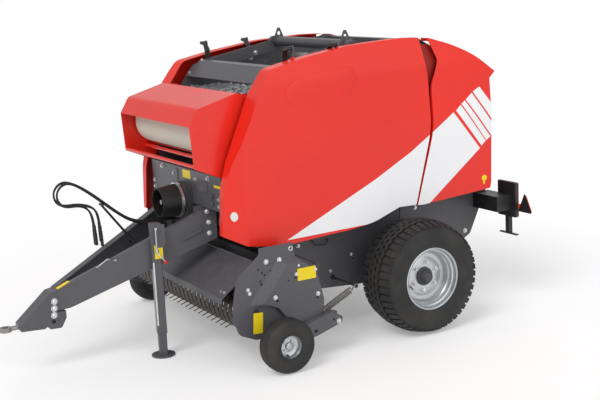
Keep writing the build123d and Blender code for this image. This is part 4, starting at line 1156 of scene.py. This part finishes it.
# a gauge rim's outer dish, inner dish, bearing cap and its hexagon, with their segments
GAUGE_RIM = (
    ([(58.6, 92), (59, 86), (55, 82), (44, 80), (36, 74), (20, 73), (14, 66), (10, 40),
      (14, 26), (17, 26), (17, 0)], 64),
    ([(12, 0), (12, 38), (8, 62), (-6, 68), (-18, 73), (-38, 74), (-46, 80), (-58, 84),
      (-58.6, 92)], 64),
    ([(14, 0), (14, 26), (34, 25), (38, 21), (40, 12), (40, 0)], 32),
    ([(40, 0), (40, 9), (50, 8), (52, 5), (52, 0)], 6))


class BALER_OT_rims(bpy.types.Operator):
    """Galvanised rims: stepped well, flat disc, hub with its cap, wheel nuts and valve."""

    bl_idname = "baler.rims"
    bl_label = "Rims"

    def execute(self, context):
        for out, side in SIDES:
            self.main_rim(side, out)
            self.gauge_rim(side, out)
        return {"FINISHED"}

    def point(self, centre, out, along, radius, turn):
        """A point of a wheel: its distance out, its radius and its turn in degrees."""
        turn = radians(turn)
        return centre + Vector((out * along, radius * cos(turn), radius * sin(turn))) / 1000

    def main_rim(self, side, out):
        """A main wheel's barrel, disc, nuts, hub and valve."""
        centre, axis, body = centre_of(f"rim_{side}"), Vector((out, 0, 0)), f"wheel_{side}"
        disc = 62.0
        well = [(166, 233), (168, 227), (164, 221), (148, 218), (138, 217), (132, 206), (118, 203),
                (104, 203), (98, 196), (88, 192), (74, 191), (66, 186), (56, 184), (-30, 184),
                (-60, 200), (-140, 212), (-164, 219), (-168, 227), (-166, 233)]
        inner = [(along, radius - 4) for along, radius in reversed(well)]
        made = lathe_piece(f"rim_barrel_{side}", well + inner + well[:1], centre, axis, 96, body,
                           "zinc", 40)
        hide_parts(f"rim_{side}")
        lathe_piece(f"rim_disc_{side}", [
            (disc - 8, 60), (disc - 8, 178), (disc - 20, 184), (disc - 12, 184), (disc, 180),
            (disc + 1, 168), (disc - 3, 150), (disc - 3, 148), (disc + 2, 142), (disc + 2, 84),
            (disc - 1, 60), (disc - 8, 60)], centre, axis, 96, body, "zinc", 40)
        bm = bmesh.new()
        for number in range(6):
            spot = self.point(centre, out, disc, 108, 82 + number * 60)
            hex_head(bm, spot + axis * 0.002, axis, 27, 20)
            add_lathe(bm, [(20, 0), (20, 7), (30, 7), (31, 6), (31, 0)], spot, axis, 16)
        piece(f"wheel_nuts_{side}", bm, body, "bright")
        lathe_piece(f"hub_{side}", [
            (disc - 8, 0), (disc - 8, 68), (disc + 10, 68), (disc + 13, 64), (disc + 16, 52),
            (disc + 34, 50), (disc + 38, 46), (disc + 40, 41), (disc + 52, 39), (disc + 58, 33),
            (disc + 60, 20), (disc + 60, 0)], centre, axis, 48, body, "cast", 40)
        turn = radians(VALVE_TURN)
        lathe_piece(f"valve_{side}", [
            (0, 0), (0, 6), (6, 6), (8, 4.5), (34, 4), (36, 5), (44, 5), (45, 0)],
            self.point(centre, out, disc, 140, VALVE_TURN),
            (out, 0.35 * cos(turn), 0.35 * sin(turn)), 16, body, "plastic")

    def gauge_rim(self, side, out):
        """A gauge wheel's rim with its nuts and cap, and its valve."""
        centre, axis = centre_of(f"gauge_rim_{side}"), Vector((out, 0, 0))
        body = f"gauge_wheel_{side}"
        bm = bmesh.new()
        for profile, count in GAUGE_RIM:
            add_lathe(bm, profile, centre, axis, count)
        for number in range(4):
            hex_head(bm, self.point(centre, out, 12, 40, 45 + number * 90), axis, 13)
        made = piece(f"gauge_rim_disc_{side}", bm, body, "zinc", smooth=40)
        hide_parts(f"gauge_rim_{side}")
        lathe_piece(f"gauge_valve_{side}", [(0, 0), (0, 5), (22, 3.6), (30, 3.6), (31, 0)],
                    centre + Vector((out * 20, -12, -62)) / 1000, (out, -0.1, -0.3), 12, body,
                    "plastic")


# Pick-up

SPRING_FOOT = (930, -875, 276)
SPRING_HEAD = (930, -545, 430)
SPRING_TURNS = 17
SPRING_STEPS = 16       # in each turn
SPRING_RADIUS = 21
SPRING_WIRE = 4.6       # radius of the wire
PIN_RADIUS = 9
HOOK_RADIUS = 13.5
COIL_START, COIL_SHARE = 0.14, 0.72     # shares of the way from the foot to the head


class BALER_OT_springs(bpy.types.Operator):
    """The pick-up's two coil springs with hooked ends, their pins on shield and chassis."""

    bl_idname = "baler.springs"
    bl_label = "Pick-up springs"

    def execute(self, context):
        steps = SPRING_STEPS * SPRING_TURNS
        for side, name in SIDES:
            foot = at(side * SPRING_FOOT[0], *SPRING_FOOT[1:])
            head = at(side * SPRING_HEAD[0], *SPRING_HEAD[1:])
            axis = (head - foot).normalized()
            run = (head - foot).length
            across = Vector((1, 0, 0))
            other = axis.cross(across)
            path = self.hook(foot, axis, other)
            for step in range(steps + 1):
                share = step / steps
                angle = 2 * pi * SPRING_TURNS * share
                path.append(foot + axis * (run * (COIL_START + COIL_SHARE * share))
                            + (across * cos(angle) + other * sin(angle)) * SPRING_RADIUS / 1000)
            path += reversed(self.hook(head, -axis, other))
            bm = bmesh.new()
            add_tube(bm, path, SPRING_WIRE)
            wire = piece(f"coil_spring_{name}", bm, None, "steel", smooth=60)
            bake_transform(wire)
        self.pins("spring_feet", "pickup", SPRING_FOOT, (956, 912))
        self.pins("spring_heads", "chassis", SPRING_HEAD, (609, 946))
        return {"FINISHED"}

    def hook(self, pin, axis, other):
        """A hook round a pin, from its open end to the coil."""
        ring = [pin + (other * sin(turn) - axis * cos(turn)) * HOOK_RADIUS / 1000
                for turn in (radians(200 - k * 20) for k in range(1, 19))]
        return ring + [pin + axis * 0.030 - other * 0.004]

    def pins(self, name, body, place, x):
        """A pin on each side from one x to the other, with a collar at its root."""
        bm = bmesh.new()
        reach, collar = abs(x[1] - x[0]), PIN_RADIUS * 2.2
        for side in (1, -1):
            add_lathe(bm, [(0, 0), (0, collar), (8, collar), (8, PIN_RADIUS),
                           (reach, PIN_RADIUS), (reach, 0)],
                      at(side * x[0], *place[1:]), (side * (x[1] - x[0]), 0, 0), 24)
        piece(name, bm, body, "black")


class BALER_OT_pickup_trim(bpy.types.Operator):
    """Lifting rings on the shields, and the gauge arms' adjusters."""

    bl_idname = "baler.pickup_trim"
    bl_label = "Pick-up trim"

    def execute(self, context):
        for side, name in SIDES:
            place, normal = on("pickup_shields", side * 961, -1093, 807, (-side, 0, 0))
            lathe_piece(f"lifting_ring_{name}", [
                (0, 10), (0, 17), (3, 18), (5, 16), (5, 12), (3, 10), (0, 10)],
                place, normal, 32, "pickup", "bright")
            bm = bmesh.new()
            top = at(side * 1030, -814, 290)
            flat = rounded([(-26, -20), (26, -20), (20, 22), (-12, 34)], 10)
            for x in (1046, 1006):
                flat_on(bm, at(side * x, -822, 296), Vector((side, 0, 0)), flat, 6)
            add_lathe(bm, [(-34, 0), (-34, 9), (34, 9), (34, 0)], top + Vector((0, 0, 0.018)),
                      (1, 0, 0), 20)
            piece(f"arm_adjuster_{name}", bm, "pickup", "grey", bevel=1)
        return {"FINISHED"}


# Drawbar and front

KNOB = (345, -1769, 706)
# bent bars on the chassis: name, radius, finish, points
BARS = (
    ("hose_hook", 3.5, "bright", (
        (110, -2262, 662), (118, -2238, 676), (150, -2134, 752), (153, -2124, 752),
        (146, -2112, 722), (150, -2100, 722), (168, -2082, 742), (172, -2074, 734))),
    ("crank_handle", 5, "bright", (
        (327, -1826, 800), (334, -1824, 782), (343, -1796, 742), KNOB)),
    ("plate_handle", 4, "black", (
        (610, -715, 740), (634, -715, 740), (634, -704, 706), (634, -605, 695),
        (634, -585, 730), (610, -585, 730))),
)


class BALER_OT_drawbar_trim(bpy.types.Operator):
    """Pressed bosses, hose hook, crank handle with its knob, jack's strap and cap, handle."""

    bl_idname = "baler.drawbar_trim"
    bl_label = "Drawbar trim"

    def execute(self, context):
        self.bosses()
        for name, radius, finish, points in BARS:
            round_bar(name, [at(*point) for point in points], radius, "chassis", finish)
        lathe_piece("crank_knob", [
            (-14.5, 0), (-13, 7), (-8, 12), (0, 14.5), (8, 12), (13, 7), (14.5, 0)],
            at(*KNOB), (0, 0, 1), 28, "chassis", "knob", 80)
        place, normal = on("jack_tube", 312, -1845, 470, OUT)
        bm = bmesh.new()
        flat_on(bm, place, normal, rectangle(11, 470, 2), 2.5)
        piece("jack_strap", bm, "chassis", "bright")
        place, normal = on("jack_tube", 312, -1791, 900, OUT)
        bm = bmesh.new()
        cap = [(-41, 90), (41, 90), (41, -48), (26, -78), (-26, -78), (-41, -48)]
        flat_on(bm, place + Vector((0, 0, -0.012)), normal,
                rounded(cap, [5, 5, 30, 26, 26, 30]), 4)
        piece("jack_cap", bm, "chassis", "grey", bevel=1)
        return {"FINISHED"}

    def bosses(self):
        """The long pressed boss on each drawbar arm."""
        bm = bmesh.new()
        for side in (1, -1):
            first, normal = on("drawbar_arms", side * 283, -1621, 833, (-side, 0, 0))
            last, _ = on("drawbar_arms", side * 325, -1450, 905, (-side, 0, 0))
            run = last - first
            turn = atan2(run.z, hypot(run.x, run.y)) * side
            reach = run.length * 1000
            foot = rectangle(reach, 52, 25, turn, 8)
            face = rectangle(reach - 16, 36, 17, turn, 8)
            rings = add_rings(bm, [
                face_ring((first + last) / 2, normal, line, rise)
                for line, rise in ((foot, 0), (foot, 6), (face, 7.5), (face, 1))], ends=False)
            bm.faces.new(rings[-1])
        piece("arm_bosses", bm, "chassis", "grey")


class BALER_OT_front_trim(bpy.types.Operator):
    """The cone's clamp band with its screw, brackets and round caps on the front frame."""

    bl_idname = "baler.front_trim"
    bl_label = "Front trim"

    def execute(self, context):
        bm = bmesh.new()
        add_lathe(bm, [(-10, 123), (-10, 131), (10, 133), (10, 125), (-10, 123)],
                  at(0, -1500, 1070), (0, 1, 0), 72)
        add_lathe(bm, [(-20, 0), (-20, 7), (26, 7), (26, 0)], at(46, -1500, 1199),
                  (1, 0, -0.3), 16)
        for x in (28, 66):
            flat_on(bm, at(x, -1500, 1196), Vector((1, 0, -0.3)).normalized(),
                    rectangle(12, 26, 4), 4)
        piece("cone_clamp", bm, "chassis", "bright")
        bm = bmesh.new()
        for x, z, width, height in ((-150, 1235, 60, 90), (330, 1200, 110, 80),
                                    (240, 1120, 50, 60)):
            place, normal = on("front_frame", x, -1420, z, REAR)
            flat_on(bm, place, normal, rectangle(width, height, 8), 5)
        for x, z in ((455, 1150), (455, 1095)):
            place, normal = on("front_frame", x, -1420, z, REAR)
            add_lathe(bm, [(0, 0), (0, 17), (12, 17), (15, 12), (15, 0)], place, normal, 24)
        piece("frame_brackets", bm, "chassis", "grey", bevel=1.5)
        return {"FINISHED"}


# Rear

# plates of a lamp housing: (y, z) corners, then x from and to
LAMP_HOUSING = (
    ([(951, 712), (951, 988), (955, 988), (955, 712)], 742, 948),
    ([(951, 712), (951, 988), (984, 976), (984, 722)], 742, 745),
    ([(951, 712), (951, 988), (984, 976), (984, 722)], 945, 948),
    ([(951, 712), (951, 715), (982, 715), (982, 712)], 742, 948),
    ([(951, 985), (951, 988), (982, 988), (982, 985)], 742, 948))


class BALER_OT_rear_trim(bpy.types.Operator):
    """Dark lamp housings, backs of the triangles, and the yellow caps on the rear covers."""

    bl_idname = "baler.rear_trim"
    bl_label = "Rear trim"

    def execute(self, context):
        bm = bmesh.new()
        for (corners, low, high), side in product(LAMP_HOUSING, (1, -1)):
            side_plate(bm, corners, (side * low, side * high))
        piece("lamp_housings", bm, "tailgate", "black", bevel=1)
        bm = bmesh.new()
        low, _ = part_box("triangles")
        face = (low.y - AXLE_Y) * 1000
        for side in (1, -1):
            corners = [(side * x, z) for x, z in ((948, 760), (1105, 760), (1025, 914))]
            add_prism(bm, [at(x, face - 0.2, z) for x, z in rounded(corners, 6)],
                      Vector((0, -0.0016, 0)))
        piece("triangle_backs", bm, "tailgate", "black")
        bm = bmesh.new()
        for side in (1, -1):
            place, normal = on("rear_covers", side * 840, 735, 1045, (-side, 0, 0))
            add_lathe(bm, [(0, 0), (0, 24), (4, 24), (7, 21), (8, 0)], place, normal, 32)
            flat_on(bm, place - Vector((0, 0.004, 0.034)), normal, rectangle(16, 26, 5), 5)
        piece("cover_caps", bm, "tailgate", "plate")
        return {"FINISHED"}


OPERATORS = (
    BALER_OT_stage, BALER_OT_finishes, BALER_OT_hoses, BALER_OT_main_tyres,
    BALER_OT_gauge_tyres, BALER_OT_rims, BALER_OT_large_forms, BALER_OT_fasteners, BALER_OT_plates,
    BALER_OT_springs, BALER_OT_pickup_trim, BALER_OT_drawbar_trim, BALER_OT_front_trim,
    BALER_OT_rear_trim)


class BALER_PT_looks(bpy.types.Panel):
    """The looks of the baler, step by step."""

    bl_label = "Round baler"
    bl_idname = "BALER_PT_looks"
    bl_space_type = "VIEW_3D"
    bl_region_type = "UI"
    bl_category = "Baler"

    def draw(self, context):
        for group in (context.scene.baler_colours, context.scene.baler_sizes):
            box = self.layout.box()
            for name in group.__annotations__:
                box.prop(group, name)
        for operator in OPERATORS:
            self.layout.operator(operator.bl_idname)


CLASSES = (BALER_PG_colours, BALER_PG_sizes, *OPERATORS, BALER_PT_looks)


def register():
    """Adds the settings, operators and panel."""
    for kind in CLASSES:
        bpy.utils.register_class(kind)
    bpy.types.Scene.baler_colours = bpy.props.PointerProperty(type=BALER_PG_colours)
    bpy.types.Scene.baler_sizes = bpy.props.PointerProperty(type=BALER_PG_sizes)


def unregister():
    """Takes them out again."""
    del bpy.types.Scene.baler_colours
    del bpy.types.Scene.baler_sizes
    for kind in reversed(CLASSES):
        bpy.utils.unregister_class(kind)


def main():
    """Builds the looks in order."""
    register()
    for operator in OPERATORS:
        group, name = operator.bl_idname.split(".")
        getattr(getattr(bpy.ops, group), name)()


if __name__ == "__main__":
    main()
